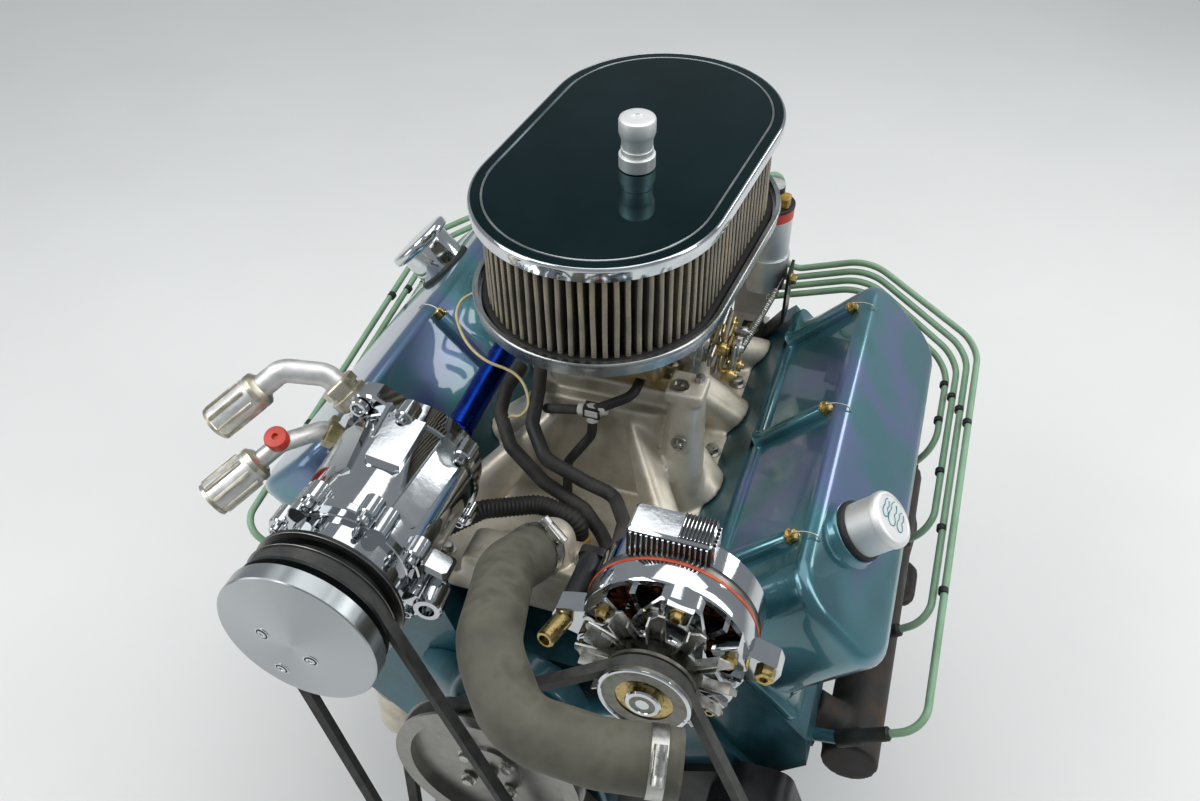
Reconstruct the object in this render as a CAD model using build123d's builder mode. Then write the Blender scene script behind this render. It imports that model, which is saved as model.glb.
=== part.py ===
from build123d import *
import os
from math import atan2, cos, hypot, pi, radians, sin, sqrt

# A dressed V8 engine for a hot rod, in millimetres.
# X runs to the driver's side, Y to the rear and Z up. The origin lies on the crankshaft's axis, on the
# block's rear face, where the bell housing bolts on. "Ahead" is a distance forward of that face.

# Cylinder block and banks
bank_lean = 45
block_length = 530
deck_height = 229
deck_outer = 78
deck_inner = -106
bank_stagger = 22
pan_rail_drop = 57
pan_rail_half = 126
skirt_height = 30
valley_floor = 200
bore_spacing = 112
main_journal_r = 31
running_fit = 0.05
bell_r = 196
bell_thickness = 16
bell_bolt_r = 5.6
core_plug_r = 14
bell_bolts = ((-165, 92), (-70, 178), (70, 178), (165, 92), (-176, -10), (176, -10))

# Crankshaft and its front end
crank_flange_r = 56
crank_flange_thickness = 14
flywheel_pcd = 90.9
flywheel_bolt_r = 5.6
snout_r = 16
balancer_r = 85
balancer_width = 38

# Belts and pulleys
belt_width = 10.4
belt_inner_width = 7.2
belt_depth = 8
belt_gap = 0.4
groove_lip = 1.5
rim_wall = 3.4
belt_plane = 103
belt_spacing = 18
alternator_belt_ahead = block_length + belt_plane
compressor_belt_ahead = alternator_belt_ahead + belt_spacing
balancer_ahead = alternator_belt_ahead - 71
snout_end = compressor_belt_ahead + 17
crank_pulley_r = 84
pump_pulley_r = 80
steering_pulley_r = 62
alternator_pulley_r = 33
compressor_pulley_r = 60

# Centres of what the belts turn, across and up
pump_height = 178
alternator_across, alternator_height = 130, 346
compressor_across, compressor_height = -119, 359
steering_across, steering_height = 215, 70

# Cylinder heads and valve covers
head_height = 68
head_length = 476
head_end_gap = 24
plug_offset = 36
cover_rail_inner = -103
cover_rail_outer = 30
cover_rail_height = 7
cover_top_inner = -98
cover_top_outer = 20
cover_height = 103
cover_length = 474
cover_corner_r = 38
cover_edge_r = 11
post_half = 7.5
post_height = 84
post_spacing = 168
filler_across = -56
filler_from_front = 105
filler_neck_r = 27
filler_neck_height = 9
cap_r = 24.5
cap_height = 36
cap_plug_r = 15
cap_plug_depth = 16
slide_clearance = 0.3
breather_across = -56
breather_from_rear = 130
breather_r = 29
breather_top_r = 37
breather_height = 46
breather_top_height = 9

# Intake manifold, carburettor and air cleaner
manifold_length = 470
manifold_slab = 30
plenum_half = 78
plenum_length = 186
plenum_taper = 6
runner_spacing = 42
pad_lean = 3.8
carb_across = 11.4
carb_ahead = 271.8
pad_height = 374.5
plenum_top = pad_height - 22.5
pad_side = 128
carb_height = 78
horn_r = 60
boss_across, boss_ahead, boss_r = 84, 356, 16
boss_top = pad_height + 23.5
cleaner_turn = -6.1
cleaner_across = -14.4
cleaner_rearward = 27.7
lid_r = 108
lid_half_straight = 71.7
cleaner_height = 106
lid_thickness = 4
lid_rim = 13
lid_rim_wall = 3
tray_height = 14
tray_reach = 2.5
filter_inset = 9
filter_depth = 20
pleat_depth = 7
pleat_pitch = 8
knob_r = 15.5
knob_height = 46
stud_r = 3.2

# Accessories
alternator_r = 66
alternator_front = alternator_belt_ahead - 23
alternator_stator_ahead = alternator_front - 50
alternator_stator_width = 10
alternator_rear = alternator_front - 96
compressor_r = 57
compressor_length = 166
compressor_front = compressor_belt_ahead - 23
compressor_rear = compressor_front - compressor_length
clutch_r = 64
clutch_ahead = compressor_belt_ahead + 30
clutch_rim = 15
clutch_dome = 6
hose_r = 23.5
hose_wall = 4.5


def ahead(distance):
    """The cross-section plane this far forward of the block's rear face: across is X, up is Z."""
    return Plane.XZ.offset(distance)


def bank(side, height):
    """The plane across a bank at this height on its cylinders' axes: x leads outward, y is side * Y."""
    s, c = sin(radians(bank_lean)), cos(radians(bank_lean))
    return Plane((side * s * height, 0, c * height), x_dir=(side * c, 0, -s), z_dir=(side * s, 0, c))


def bank_point(side, height, outward):
    """X and Z of a point given by its height on the bank and its distance outward of the bore axis."""
    s, c = sin(radians(bank_lean)), cos(radians(bank_lean))
    return side * (s * height + c * outward), c * height - s * outward


def save(piece, name):
    """Label a finished piece and write its STEP file."""
    piece.part.label = name
    export_step(piece.part, f"parts/{name}.step")


def turned(across, height, outline):
    """A solid of revolution about a fore-and-aft axis, from (radius, ahead) points."""
    with BuildPart() as piece:
        with BuildSketch(Plane((across, 0, height), x_dir=(1, 0, 0), z_dir=(0, 0, 1))):
            with BuildLine():
                Polyline(*[(r, -distance) for r, distance in outline], close=True)
            make_face()
        revolve(axis=Axis((across, 0, height), (0, 1, 0)))
    return piece


def groove(radius, belt_ahead):
    """Rim points of one belt groove, from front to rear, as (radius, ahead)."""
    top, bottom = radius + groove_lip, radius - belt_depth - belt_gap
    wide, narrow = belt_width / 2 + belt_gap + 0.3, belt_inner_width / 2 + belt_gap
    return [(top, belt_ahead + wide), (bottom, belt_ahead + narrow),
            (bottom, belt_ahead - narrow), (top, belt_ahead - wide)]


def pulley(across, height, radius, grooves, hub_r, bore_r, hub_front, hub_rear):
    """A pulley: a grooved rim on a plain hub, turned about a fore-and-aft axis."""
    front, rear = max(grooves) + belt_width / 2 + rim_wall, min(grooves) - belt_width / 2 - rim_wall
    top = radius + groove_lip
    rim_inner = radius - belt_depth - belt_gap - rim_wall
    web_front, web_rear = rear + 8, rear + 2
    points = [(bore_r, hub_front), (hub_r, hub_front), (hub_r, web_front), (rim_inner, web_front),
              (rim_inner, front), (top, front)]
    for at in sorted(grooves, reverse=True):
        points += groove(radius, at)
    points += [(top, rear), (rim_inner, rear), (rim_inner, web_rear), (hub_r, web_rear), (hub_r, hub_rear),
               (bore_r, hub_rear)]
    return turned(across, height, points)


def belt_line(wheels):
    """The belt's closed line round wheels listed counter-clockwise as (across, height, radius)."""
    count = len(wheels)
    normals = []
    for i in range(count):
        (x0, z0, r0), (x1, z1, r1) = wheels[i], wheels[(i + 1) % count]
        length = hypot(x1 - x0, z1 - z0)
        along, lean = ((x1 - x0) / length, (z1 - z0) / length), (r0 - r1) / length
        side = sqrt(1 - lean * lean)
        normals.append((along[0] * lean + along[1] * side, along[1] * lean - along[0] * side))
    with BuildLine() as line:
        for i in range(count):
            x, z, r = wheels[i]
            start = atan2(normals[i - 1][1], normals[i - 1][0])
            end = atan2(normals[i][1], normals[i][0])
            end += 2 * pi if end < start else 0
            middle = (start + end) / 2
            points = [(x + r * cos(a), z + r * sin(a)) for a in (start, middle, end)]
            ThreePointArc(*points)
            x2, z2, r2 = wheels[(i + 1) % count]
            Line(points[2], (x2 + r2 * cos(end), z2 + r2 * sin(end)))
    return line


def belt(wheels, belt_ahead):
    """A V-belt: the space between two loops, its sides sloped as the grooves are."""
    path = (ahead(belt_ahead) * belt_line(wheels).line).wires()[0]
    outward = path % 0
    section_plane = Plane(path @ 0, x_dir=outward.cross(Vector(0, -1, 0)), z_dir=outward)
    with BuildPart() as piece:
        with BuildSketch(section_plane) as section:
            with BuildLine():
                Polyline((0, belt_width / 2), (0, -belt_width / 2), (-belt_depth, -belt_inner_width / 2),
                         (-belt_depth, belt_inner_width / 2), close=True)
            make_face()
        sweep(section.sketch, path=path)
    return piece


def tube(points, radii, radius, hole=0):
    """A pipe of round section along straight runs joined by tangent arcs."""
    with BuildPart() as piece:
        with BuildLine() as route:
            if radii:
                FilletPolyline(*points, radius=radii)
            else:
                Line(*points)
        with BuildSketch(Plane(route.line @ 0, z_dir=route.line % 0)):
            Circle(radius)
            if hole:
                Circle(hole, mode=Mode.SUBTRACT)
        sweep(path=route.line)
    return piece


def rod(start, end, radius):
    """A straight round bar between two points, for adding to a piece."""
    along = Vector(*end) - Vector(*start)
    with BuildSketch(Plane(Vector(*start), z_dir=along)) as section:
        Circle(radius)
    extrude(section.sketch, amount=along.length)


def obround(width_r, half_straight, mode=Mode.ADD):
    """The air cleaner's outline: two half circles joined by straight sides, long way along local y."""
    SlotCenterToCenter(2 * half_straight, 2 * width_r, rotation=90, mode=mode)


os.makedirs("parts", exist_ok=True)

# Cylinder block: solid, with the crankshaft's bore, the flange recess and the bell housing's holes
right_half = [(pan_rail_half, -pan_rail_drop), (pan_rail_half, skirt_height),
              bank_point(1, deck_height, deck_outer), bank_point(1, deck_height, deck_inner),
              (74, valley_floor)]
with BuildPart() as block:
    with BuildSketch(ahead(0)):
        with BuildLine():
            Polyline(*right_half, *[(-x, z) for x, z in reversed(right_half)], close=True)
        make_face()
    extrude(amount=block_length)
    with BuildSketch(ahead(0)):
        Circle(bell_r)
        with Locations((0, -pan_rail_drop - bell_r)):
            Rectangle(3 * bell_r, 2 * bell_r, mode=Mode.SUBTRACT)
    extrude(amount=bell_thickness)
    with BuildSketch(ahead(0)):
        with Locations(*bell_bolts):
            Circle(bell_bolt_r)
    extrude(amount=bell_thickness, mode=Mode.SUBTRACT)
    with BuildSketch(ahead(0)):
        Circle(crank_flange_r + 4)
    extrude(amount=crank_flange_thickness + 4, mode=Mode.SUBTRACT)
    with BuildSketch(ahead(0)):
        Circle(main_journal_r + running_fit)
    extrude(amount=block_length, mode=Mode.SUBTRACT)
    for side in (-1, 1):
        for cylinder in range(4):
            at = 58 + bore_spacing * cylinder + (bank_stagger / 2 if side > 0 else -bank_stagger / 2)
            with BuildSketch(Plane((side * (pan_rail_half - 1), -at, 35), z_dir=(side, 0, 0.35))):
                Circle(core_plug_r)
            extrude(amount=7)
save(block, "block")

# Oil pan: shallow at the front, a deep sump at the rear
pan_depth, sump_depth, sump_length = 42, 178, 300
with BuildPart() as oil_pan:
    with BuildSketch(Plane.XY.offset(-pan_rail_drop)):
        with Locations((0, -block_length / 2)):
            Rectangle(2 * pan_rail_half - 6, block_length - 24)
    extrude(amount=-5)
    with BuildSketch(Plane.XY.offset(-pan_rail_drop - 5)):
        with Locations((0, -block_length / 2)):
            RectangleRounded(2 * pan_rail_half - 50, block_length - 44, 20)
    extrude(amount=-pan_depth, taper=6)
    with BuildSketch(Plane.XY.offset(-pan_rail_drop - 5)):
        with Locations((0, -(34 + sump_length / 2))):
            RectangleRounded(2 * pan_rail_half - 54, sump_length, 20)
    extrude(amount=-sump_depth, taper=4)
save(oil_pan, "oil_pan")

# Timing cover on the block's front face, round the crankshaft's snout
timing_thickness = 24
with BuildPart() as timing_cover:
    with BuildSketch(ahead(block_length)):
        with BuildLine():
            Polyline((-88, -52), (88, -52), (78, 20), (58, 125), (-58, 125), (-78, 20), close=True)
        make_face()
        fillet(vertices(), radius=14)
    extrude(amount=timing_thickness)
    fillet(faces().sort_by(Axis.Y)[0].edges(), radius=6)
    with BuildSketch(ahead(block_length)):
        Circle(snout_r + 6)
    extrude(amount=timing_thickness, mode=Mode.SUBTRACT)
save(timing_cover, "timing_cover")

# Crankshaft: rear flange, plain shaft through the block, and the snout
with BuildPart() as crankshaft:
    add(turned(0, 0, [(0, 0), (crank_flange_r, 0), (crank_flange_r, crank_flange_thickness),
                      (main_journal_r, crank_flange_thickness),
                      (main_journal_r, block_length - 6), (snout_r, block_length - 6),
                      (snout_r, snout_end), (0, snout_end)]).part)
    with BuildSketch(ahead(0)):
        with PolarLocations(flywheel_pcd / 2, 6):
            Circle(flywheel_bolt_r)
    extrude(amount=crank_flange_thickness, mode=Mode.SUBTRACT)
save(crankshaft, "crankshaft")

# Harmonic balancer: hub, rubber gap and inertia ring, pressed on the snout
balancer_front = balancer_ahead + balancer_width
harmonic_balancer = turned(0, 0, [(snout_r, balancer_ahead), (balancer_r, balancer_ahead),
                                  (balancer_r, balancer_front), (balancer_r - 16, balancer_front),
                                  (balancer_r - 20, balancer_front - 8), (38, balancer_front - 8),
                                  (34, balancer_front), (snout_r, balancer_front)])
save(harmonic_balancer, "harmonic_balancer")

# Crank pulley: two grooves, bolted to the balancer's hub
crank_pulley = pulley(0, 0, crank_pulley_r, (alternator_belt_ahead, compressor_belt_ahead), 38, snout_r,
                      alternator_belt_ahead + 6, balancer_front)
save(crank_pulley, "crank_pulley")

# Cylinder heads: solid castings, each with its spark plugs' bosses and exhaust ports
for side, name in ((1, "right"), (-1, "left")):
    start = head_end_gap + (bank_stagger if side > 0 else 0)
    middle = start + head_length / 2
    width = deck_outer - deck_inner
    with BuildPart() as head:
        with BuildSketch(bank(side, deck_height)):
            with Locations(((deck_outer + deck_inner) / 2, -side * middle)):
                Rectangle(width, head_length)
        extrude(amount=head_height)
        outer_edge = head.edges().filter_by(Axis.Y).sort_by(lambda e: e.center().X * side)[-1]
        chamfer(outer_edge, length=22, length2=30)
        for cylinder in range(4):
            at = middle + (cylinder - 1.5) * bore_spacing
            x, z = bank_point(side, deck_height + 26, deck_outer - 12)
            plug_axis = Plane((x, -at - plug_offset, z), z_dir=(side, 0, 0.2))
            with BuildSketch(plug_axis):
                RegularPolygon(11, 6)
            extrude(amount=24)
            with BuildSketch(plug_axis.offset(24)):
                Circle(6)
            extrude(amount=20)
    save(head, f"cylinder_head_{name}")


def valve_cover(side):
    """A tall valve cover: bolt rail, rounded body and the posts of its long hold-down bolts."""
    start = head_end_gap + (bank_stagger if side > 0 else 0)
    middle = start + head_length / 2
    rail = bank(side, deck_height + head_height)
    rail_middle = (cover_rail_inner + cover_rail_outer) / 2
    body_middle = (cover_top_inner + cover_top_outer) / 2
    with BuildPart() as cover:
        with BuildSketch(rail):
            with Locations((rail_middle, -side * middle)):
                RectangleRounded(cover_rail_outer - cover_rail_inner, cover_length, 12)
        extrude(amount=cover_rail_height)
        with BuildSketch(rail):
            with Locations((body_middle, -side * middle)):
                RectangleRounded(cover_top_outer - cover_top_inner, cover_length - 12, cover_corner_r)
        extrude(amount=cover_height)
        fillet(cover.faces().sort_by(lambda f: f.center().Z)[-1].edges(), radius=cover_edge_r)
        for i in (-1, 0, 1):
            with BuildSketch(rail):
                with Locations((cover_top_inner - 2, -side * (middle + i * post_spacing))):
                    Rectangle(2 * post_half + 4, 2 * post_half)
            extrude(amount=post_height)
            with BuildSketch(rail.offset(post_height)):
                with Locations((cover_top_inner - 2, -side * (middle + i * post_spacing))):
                    RegularPolygon(7.5, 6)
            extrude(amount=6)
    return cover, rail, middle


# Right valve cover, with the filler's neck and a blind bore for the cap's plug
cover_right, rail_plane, cover_middle = valve_cover(1)
filler_ahead = cover_middle + cover_length / 2 - filler_from_front
with BuildPart() as valve_cover_right:
    add(cover_right.part)
    with BuildSketch(rail_plane.offset(cover_height)):
        with Locations((filler_across, -filler_ahead)):
            Circle(filler_neck_r)
    extrude(amount=filler_neck_height)
    with BuildSketch(rail_plane.offset(cover_height + filler_neck_height)):
        with Locations((filler_across, -filler_ahead)):
            Circle(cap_plug_r + slide_clearance)
    extrude(amount=-cap_plug_depth - 4, mode=Mode.SUBTRACT)
save(valve_cover_right, "valve_cover_right")

# Oil filler cap: a turned cup on a rubber plug
with BuildPart() as oil_filler_cap:
    seat = rail_plane.offset(cover_height + filler_neck_height + slide_clearance)
    with BuildSketch(seat):
        with Locations((filler_across, -filler_ahead)):
            Circle(cap_r)
    extrude(amount=cap_height)
    chamfer(oil_filler_cap.faces().sort_by(lambda f: f.center().Z)[-1].edges(), length=2.5)
    with BuildSketch(seat):
        with Locations((filler_across, -filler_ahead)):
            Circle(cap_plug_r)
    extrude(amount=-cap_plug_depth)
save(oil_filler_cap, "oil_filler_cap")

# Left valve cover, plain
cover_left, rail_left, left_middle = valve_cover(-1)
save(cover_left, "valve_cover_left")

# Breather on the left cover: a turned can with a wider top
breather_ahead = left_middle - cover_length / 2 + breather_from_rear
with BuildPart() as breather:
    for radius, low, high in ((breather_r, 0, breather_height - breather_top_height),
                              (breather_top_r, breather_height - breather_top_height, breather_height)):
        with BuildSketch(rail_left.offset(cover_height + low)):
            with Locations((breather_across, breather_ahead)):
                Circle(radius)
        extrude(amount=high - low)
save(breather, "breather")

# Intake manifold: slab between the heads, plenum, eight runners, water passage and boss
inner_low = bank_point(1, deck_height, deck_inner)
inner_high = bank_point(1, deck_height + manifold_slab, deck_inner)
manifold_middle = head_end_gap + bank_stagger / 2 + head_length / 2
pad_plane = Plane((carb_across, -carb_ahead, pad_height), x_dir=(1, 0, 0),
                  z_dir=(0, -sin(radians(pad_lean)), cos(radians(pad_lean))))
runner_width, runner_height = 42, 44
passage_width, boss_head = 36, 12
with BuildPart() as intake_manifold:
    with BuildSketch(ahead(manifold_middle - manifold_length / 2)):
        with BuildLine():
            Polyline(inner_low, inner_high, (-inner_high[0], inner_high[1]), (-inner_low[0], inner_low[1]),
                     close=True)
        make_face()
    extrude(amount=manifold_length)
    with BuildSketch(Plane.XY.offset(inner_high[1] - 4)):
        with Locations((0, -carb_ahead)):
            RectangleRounded(2 * plenum_half, plenum_length, 30)
    extrude(amount=plenum_top - inner_high[1] + 4, taper=plenum_taper)
    for side in (-1, 1):
        for cylinder in range(4):
            port = manifold_middle + (cylinder - 1.5) * bore_spacing
            port += side * bank_stagger / 2
            inner = carb_ahead + (cylinder - 1.5) * runner_spacing
            x, z = bank_point(side, deck_height + manifold_slab - 2, deck_inner - 0.5)
            with BuildSketch(Plane((side * 30, -inner, plenum_top - 26), z_dir=(side, 0, 0))) as root:
                RectangleRounded(runner_width, runner_height, 16)
            with BuildSketch(Plane((x, -port, z), z_dir=(side, 0, -1))) as tip:
                RectangleRounded(runner_width, runner_height, 16)
            loft(sections=[root.sketch, tip.sketch])
    with BuildSketch(pad_plane) as pad:
        RectangleRounded(pad_side, pad_side + 12, 14)
    extrude(pad.sketch, amount=-30, taper=-6)
    with BuildSketch(ahead(manifold_middle + manifold_length / 2 - passage_width)) as passage:
        with Locations((0, inner_high[1] + 8)):
            RectangleRounded(150, 40, 14)
    extrude(passage.sketch, amount=passage_width)
    with BuildSketch(Plane.XY.offset(inner_high[1])) as column:
        with Locations((boss_across, -boss_ahead)):
            Circle(boss_r + 5)
    extrude(column.sketch, amount=boss_top - inner_high[1] - boss_head, taper=2)
    with BuildSketch(Plane.XY.offset(boss_top - boss_head)) as head_pad:
        with Locations((boss_across, -boss_ahead)):
            Rectangle(2 * boss_r + 2, 2 * boss_r + 2)
    extrude(head_pad.sketch, amount=boss_head)
save(intake_manifold, "intake_manifold")

# Thermostat housing: flange and outlet neck for the radiator hose
neck_base = Vector(5, -(manifold_middle + manifold_length / 2 - 18), inner_high[1] + 28)
neck_turn = neck_base + Vector(0, 0, 22)
neck_out = neck_turn + Vector(-6, -46, 26)
with BuildPart() as thermostat_housing:
    with BuildSketch(Plane.XY.offset(neck_base.Z)):
        with Locations((neck_base.X, neck_base.Y)):
            RectangleRounded(76, 40, 12)
    extrude(amount=9)
    rod(neck_base, neck_turn, 21)
    with Locations(Location(neck_turn)):
        Sphere(21)
    rod(neck_turn, neck_out, hose_r - hose_wall - 0.3)
save(thermostat_housing, "thermostat_housing")

# Radiator hose: a moulded rubber elbow from the housing's neck to its free clamp end
along_neck = (neck_out - neck_turn).normalized()
hose_start = neck_turn + along_neck * 24
hose_points = [hose_start, hose_start + along_neck * 62, (22, -660, 385), (58, -700, 366), (116, -700, 362),
               (172, -688, 358)]
with BuildPart() as radiator_hose:
    add(tube(hose_points, [60, 45, 42, 60], hose_r, hose_r - hose_wall).part)
save(radiator_hose, "radiator_hose")

# Carburettor: base plate, body, two bowls, the air horn, and the throttle's shaft and lever
lever_across = 87
with BuildPart() as carburettor:
    with BuildSketch(pad_plane):
        RectangleRounded(pad_side - 4, pad_side + 8, 12)
    extrude(amount=14)
    with BuildSketch(pad_plane.offset(14)):
        RectangleRounded(108, 104, 10)
    extrude(amount=carb_height - 24)
    for fore in (-1, 1):
        with BuildSketch(pad_plane.offset(22)):
            with Locations((0, fore * 66)):
                RectangleRounded(96, 34, 8)
        extrude(amount=40)
    with BuildSketch(pad_plane.offset(carb_height - 10)):
        Circle(horn_r)
    extrude(amount=18)
    with BuildSketch(pad_plane.offset(carb_height + 8)):
        Circle(stud_r)
    extrude(amount=cleaner_height - 8)
    rod(pad_plane.from_local_coords((-72, 0, 7)), pad_plane.from_local_coords((lever_across, 0, 7)), 4)
    with BuildSketch(Plane(pad_plane.from_local_coords((lever_across, 0, 7)), z_dir=(1, 0, 0))) as lever:
        RectangleRounded(22, 64, 10)
    extrude(lever.sketch, amount=3)
save(carburettor, "carburettor")

# Air cleaner: tray, pleated element, lid and turned knob, on the carburettor's horn
turn = radians(cleaner_turn)
cleaner_x = pad_plane.x_dir * cos(turn) + pad_plane.y_dir * sin(turn)
cleaner_y = pad_plane.y_dir * cos(turn) - pad_plane.x_dir * sin(turn)
stud_foot = pad_plane.from_local_coords((0, 0, carb_height))
stud_at = (-cleaner_across, -cleaner_rearward)
tray_plane = Plane(stud_foot + cleaner_x * cleaner_across + cleaner_y * cleaner_rearward, x_dir=cleaner_x,
                   z_dir=pad_plane.z_dir)
tray_floor = 3
lid_gap = 0.3
with BuildPart() as air_cleaner_base:
    with BuildSketch(tray_plane):
        obround(lid_r + tray_reach, lid_half_straight)
        with Locations(stud_at):
            Circle(horn_r + slide_clearance, mode=Mode.SUBTRACT)
    extrude(amount=tray_floor)
    with BuildSketch(tray_plane.offset(tray_floor)):
        obround(lid_r + tray_reach, lid_half_straight)
        obround(lid_r + tray_reach - tray_floor, lid_half_straight, mode=Mode.SUBTRACT)
    extrude(amount=tray_height - tray_floor)
save(air_cleaner_base, "air_cleaner_base")

filter_r = lid_r - filter_inset
filter_high = cleaner_height - lid_thickness - lid_gap
straight_count = round(2 * lid_half_straight / pleat_pitch)
turn_count = round(pi * filter_r / pleat_pitch)


def pleat_ring(radius, depth):
    """Zig-zag outline round the obround: straight runs and half circles, in and out by depth."""
    crest, valley = radius, radius - depth
    points = []
    for side in (1, -1):
        for i in range(turn_count):
            angle = pi * i / turn_count + (0 if side > 0 else pi)
            middle = angle + pi / (2 * turn_count)
            end = side * lid_half_straight
            points += [(crest * cos(angle), end + crest * sin(angle)),
                       (valley * cos(middle), end + valley * sin(middle))]
        for i in range(straight_count):
            y = side * lid_half_straight * (1 - 2 * i / straight_count)
            step = side * lid_half_straight / straight_count
            points += [(-side * crest, y), (-side * valley, y - step)]
    return points


with BuildPart() as air_filter:
    with BuildSketch(tray_plane.offset(tray_floor)):
        with BuildLine():
            Polyline(*pleat_ring(filter_r, pleat_depth), close=True)
        make_face()
        obround(filter_r - filter_depth, lid_half_straight, mode=Mode.SUBTRACT)
    extrude(amount=filter_high - tray_floor)
save(air_filter, "air_filter")

lid_top = tray_plane.offset(cleaner_height)
with BuildPart() as air_cleaner_lid:
    with BuildSketch(lid_top):
        obround(lid_r, lid_half_straight)
    extrude(amount=-lid_thickness)
    chamfer(air_cleaner_lid.faces().sort_by(Axis.Z)[-1].edges(), length=1.5)
    with BuildSketch(lid_top.offset(-lid_thickness)):
        obround(lid_r, lid_half_straight)
        obround(lid_r - lid_rim_wall, lid_half_straight, mode=Mode.SUBTRACT)
    extrude(amount=-(lid_rim - lid_thickness))
    with BuildSketch(lid_top):
        with Locations(stud_at):
            Circle(stud_r + slide_clearance)
    extrude(amount=-lid_thickness, mode=Mode.SUBTRACT)
save(air_cleaner_lid, "air_cleaner_lid")

with BuildPart() as lid_knob:
    for radius, low, high in ((knob_r, 0, 20), (knob_r - 2.5, 20, 24), (knob_r, 24, knob_height)):
        with BuildSketch(lid_top.offset(low)):
            with Locations(stud_at):
                Circle(radius)
        extrude(amount=high - low)
    chamfer(lid_knob.faces().sort_by(Axis.Z)[-1].edges(), length=2)
    with BuildSketch(lid_top):
        with Locations(stud_at):
            Circle(stud_r + slide_clearance)
    extrude(amount=knob_height - 10, mode=Mode.SUBTRACT)
save(lid_knob, "lid_knob")

# Water pump: volute, two legs to the block and the hub that carries its shaft
timing_front = block_length + timing_thickness
pump_front = alternator_belt_ahead - 21
shaft_r = 8
leg_across, leg_height, leg_r = 98, 150, 19
with BuildPart() as water_pump:
    with BuildSketch(ahead(timing_front)):
        with Locations((0, pump_height)):
            Circle(62)
    extrude(amount=26, taper=5)
    for side in (-1, 1):
        rod((side * leg_across, -block_length, leg_height), (side * 40, -(timing_front + 16), pump_height),
            leg_r)
    with BuildSketch(ahead(timing_front + 26)):
        with Locations((0, pump_height)):
            Circle(29)
    extrude(amount=pump_front - timing_front - 26, taper=3)
    with BuildSketch(ahead(block_length)):
        Rectangle(3 * leg_across, 900)
    extrude(amount=-60, mode=Mode.SUBTRACT)
    with BuildSketch(ahead(pump_front)):
        with Locations((0, pump_height)):
            Circle(shaft_r + running_fit)
    extrude(amount=-50, mode=Mode.SUBTRACT)
save(water_pump, "water_pump")

with BuildPart() as water_pump_pulley:
    add(pulley(0, pump_height, pump_pulley_r, (alternator_belt_ahead,), 28, shaft_r,
               alternator_belt_ahead + 2, pump_front + 3).part)
    add(turned(0, pump_height, [(0, pump_front - 46), (shaft_r, pump_front - 46),
                                (shaft_r, alternator_belt_ahead + 6), (0, alternator_belt_ahead + 6)]).part)
save(water_pump_pulley, "water_pump_pulley")

# Alternator: two cast frames, the stator ring between them, fan and pulley
ax, az = alternator_across, alternator_height
rotor_r = 8.5
stator_front = alternator_stator_ahead + alternator_stator_width
ear_reach = alternator_r + 10
with BuildPart() as alternator_front_frame:
    add(turned(ax, az, [(0, stator_front), (alternator_r, stator_front),
                        (alternator_r, alternator_front - 16), (alternator_r - 12, alternator_front - 4),
                        (24, alternator_front - 4), (22, alternator_front), (0, alternator_front)]).part)
    for side in (-1, 1):
        with BuildSketch(ahead(stator_front + 4)):
            with BuildLine():
                Polyline((ax + side * 50, az - 18), (ax + side * ear_reach, az - 11),
                         (ax + side * ear_reach, az + 11), (ax + side * 50, az + 18), close=True)
            make_face()
            with Locations((ax + side * ear_reach, az)):
                Circle(11)
        extrude(amount=18)
    with BuildSketch(ahead(alternator_front)):
        with Locations((ax, az)):
            with PolarLocations(41, 12):
                Rectangle(22, 9)
    extrude(amount=-20, mode=Mode.SUBTRACT)
    with BuildSketch(ahead(alternator_front)):
        with Locations((ax, az)):
            Circle(rotor_r + running_fit)
    extrude(amount=-30, mode=Mode.SUBTRACT)
save(alternator_front_frame, "alternator_front_frame")

stator_r = alternator_r - 1.5
alternator_stator = turned(ax, az, [(0, alternator_stator_ahead), (stator_r, alternator_stator_ahead),
                                    (stator_r, stator_front), (0, stator_front)])
save(alternator_stator, "alternator_stator")

with BuildPart() as alternator_rear_frame:
    add(turned(ax, az, [(0, alternator_rear + 4), (46, alternator_rear + 4), (54, alternator_rear + 12),
                        (alternator_r, alternator_rear + 26), (alternator_r, alternator_stator_ahead),
                        (0, alternator_stator_ahead)]).part)
    with BuildSketch(ahead(alternator_rear + 20)):
        with Locations((ax - 8, az + 58)):
            Rectangle(62, 34)
    extrude(amount=alternator_stator_ahead - alternator_rear - 20)
    chamfer(alternator_rear_frame.faces().sort_by(Axis.Z)[-1].edges().filter_by(Axis.Y), length=7)
save(alternator_rear_frame, "alternator_rear_frame")

fan_rear, fan_depth, fan_disc_r = alternator_front + 3, 9, 36
with BuildPart() as alternator_fan:
    add(turned(ax, az, [(rotor_r, fan_rear), (fan_disc_r, fan_rear), (fan_disc_r, fan_rear + 2),
                        (rotor_r, fan_rear + 2)]).part)
    with BuildSketch(ahead(fan_rear)):
        with Locations((ax, az)):
            with PolarLocations(45, 12):
                Rectangle(32, 2.4, rotation=18)
    extrude(amount=fan_depth)
save(alternator_fan, "alternator_fan")

with BuildPart() as alternator_pulley:
    add(pulley(ax, az, alternator_pulley_r, (alternator_belt_ahead,), 17, rotor_r,
               alternator_belt_ahead + 4, fan_rear + 2).part)
    add(turned(ax, az, [(0, alternator_front - 27), (rotor_r, alternator_front - 27),
                        (rotor_r, alternator_belt_ahead + 12), (0, alternator_belt_ahead + 12)]).part)
    with BuildSketch(ahead(alternator_belt_ahead + 4)):
        with Locations((ax, az)):
            RegularPolygon(13, 6)
    extrude(amount=8)
save(alternator_pulley, "alternator_pulley")

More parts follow.
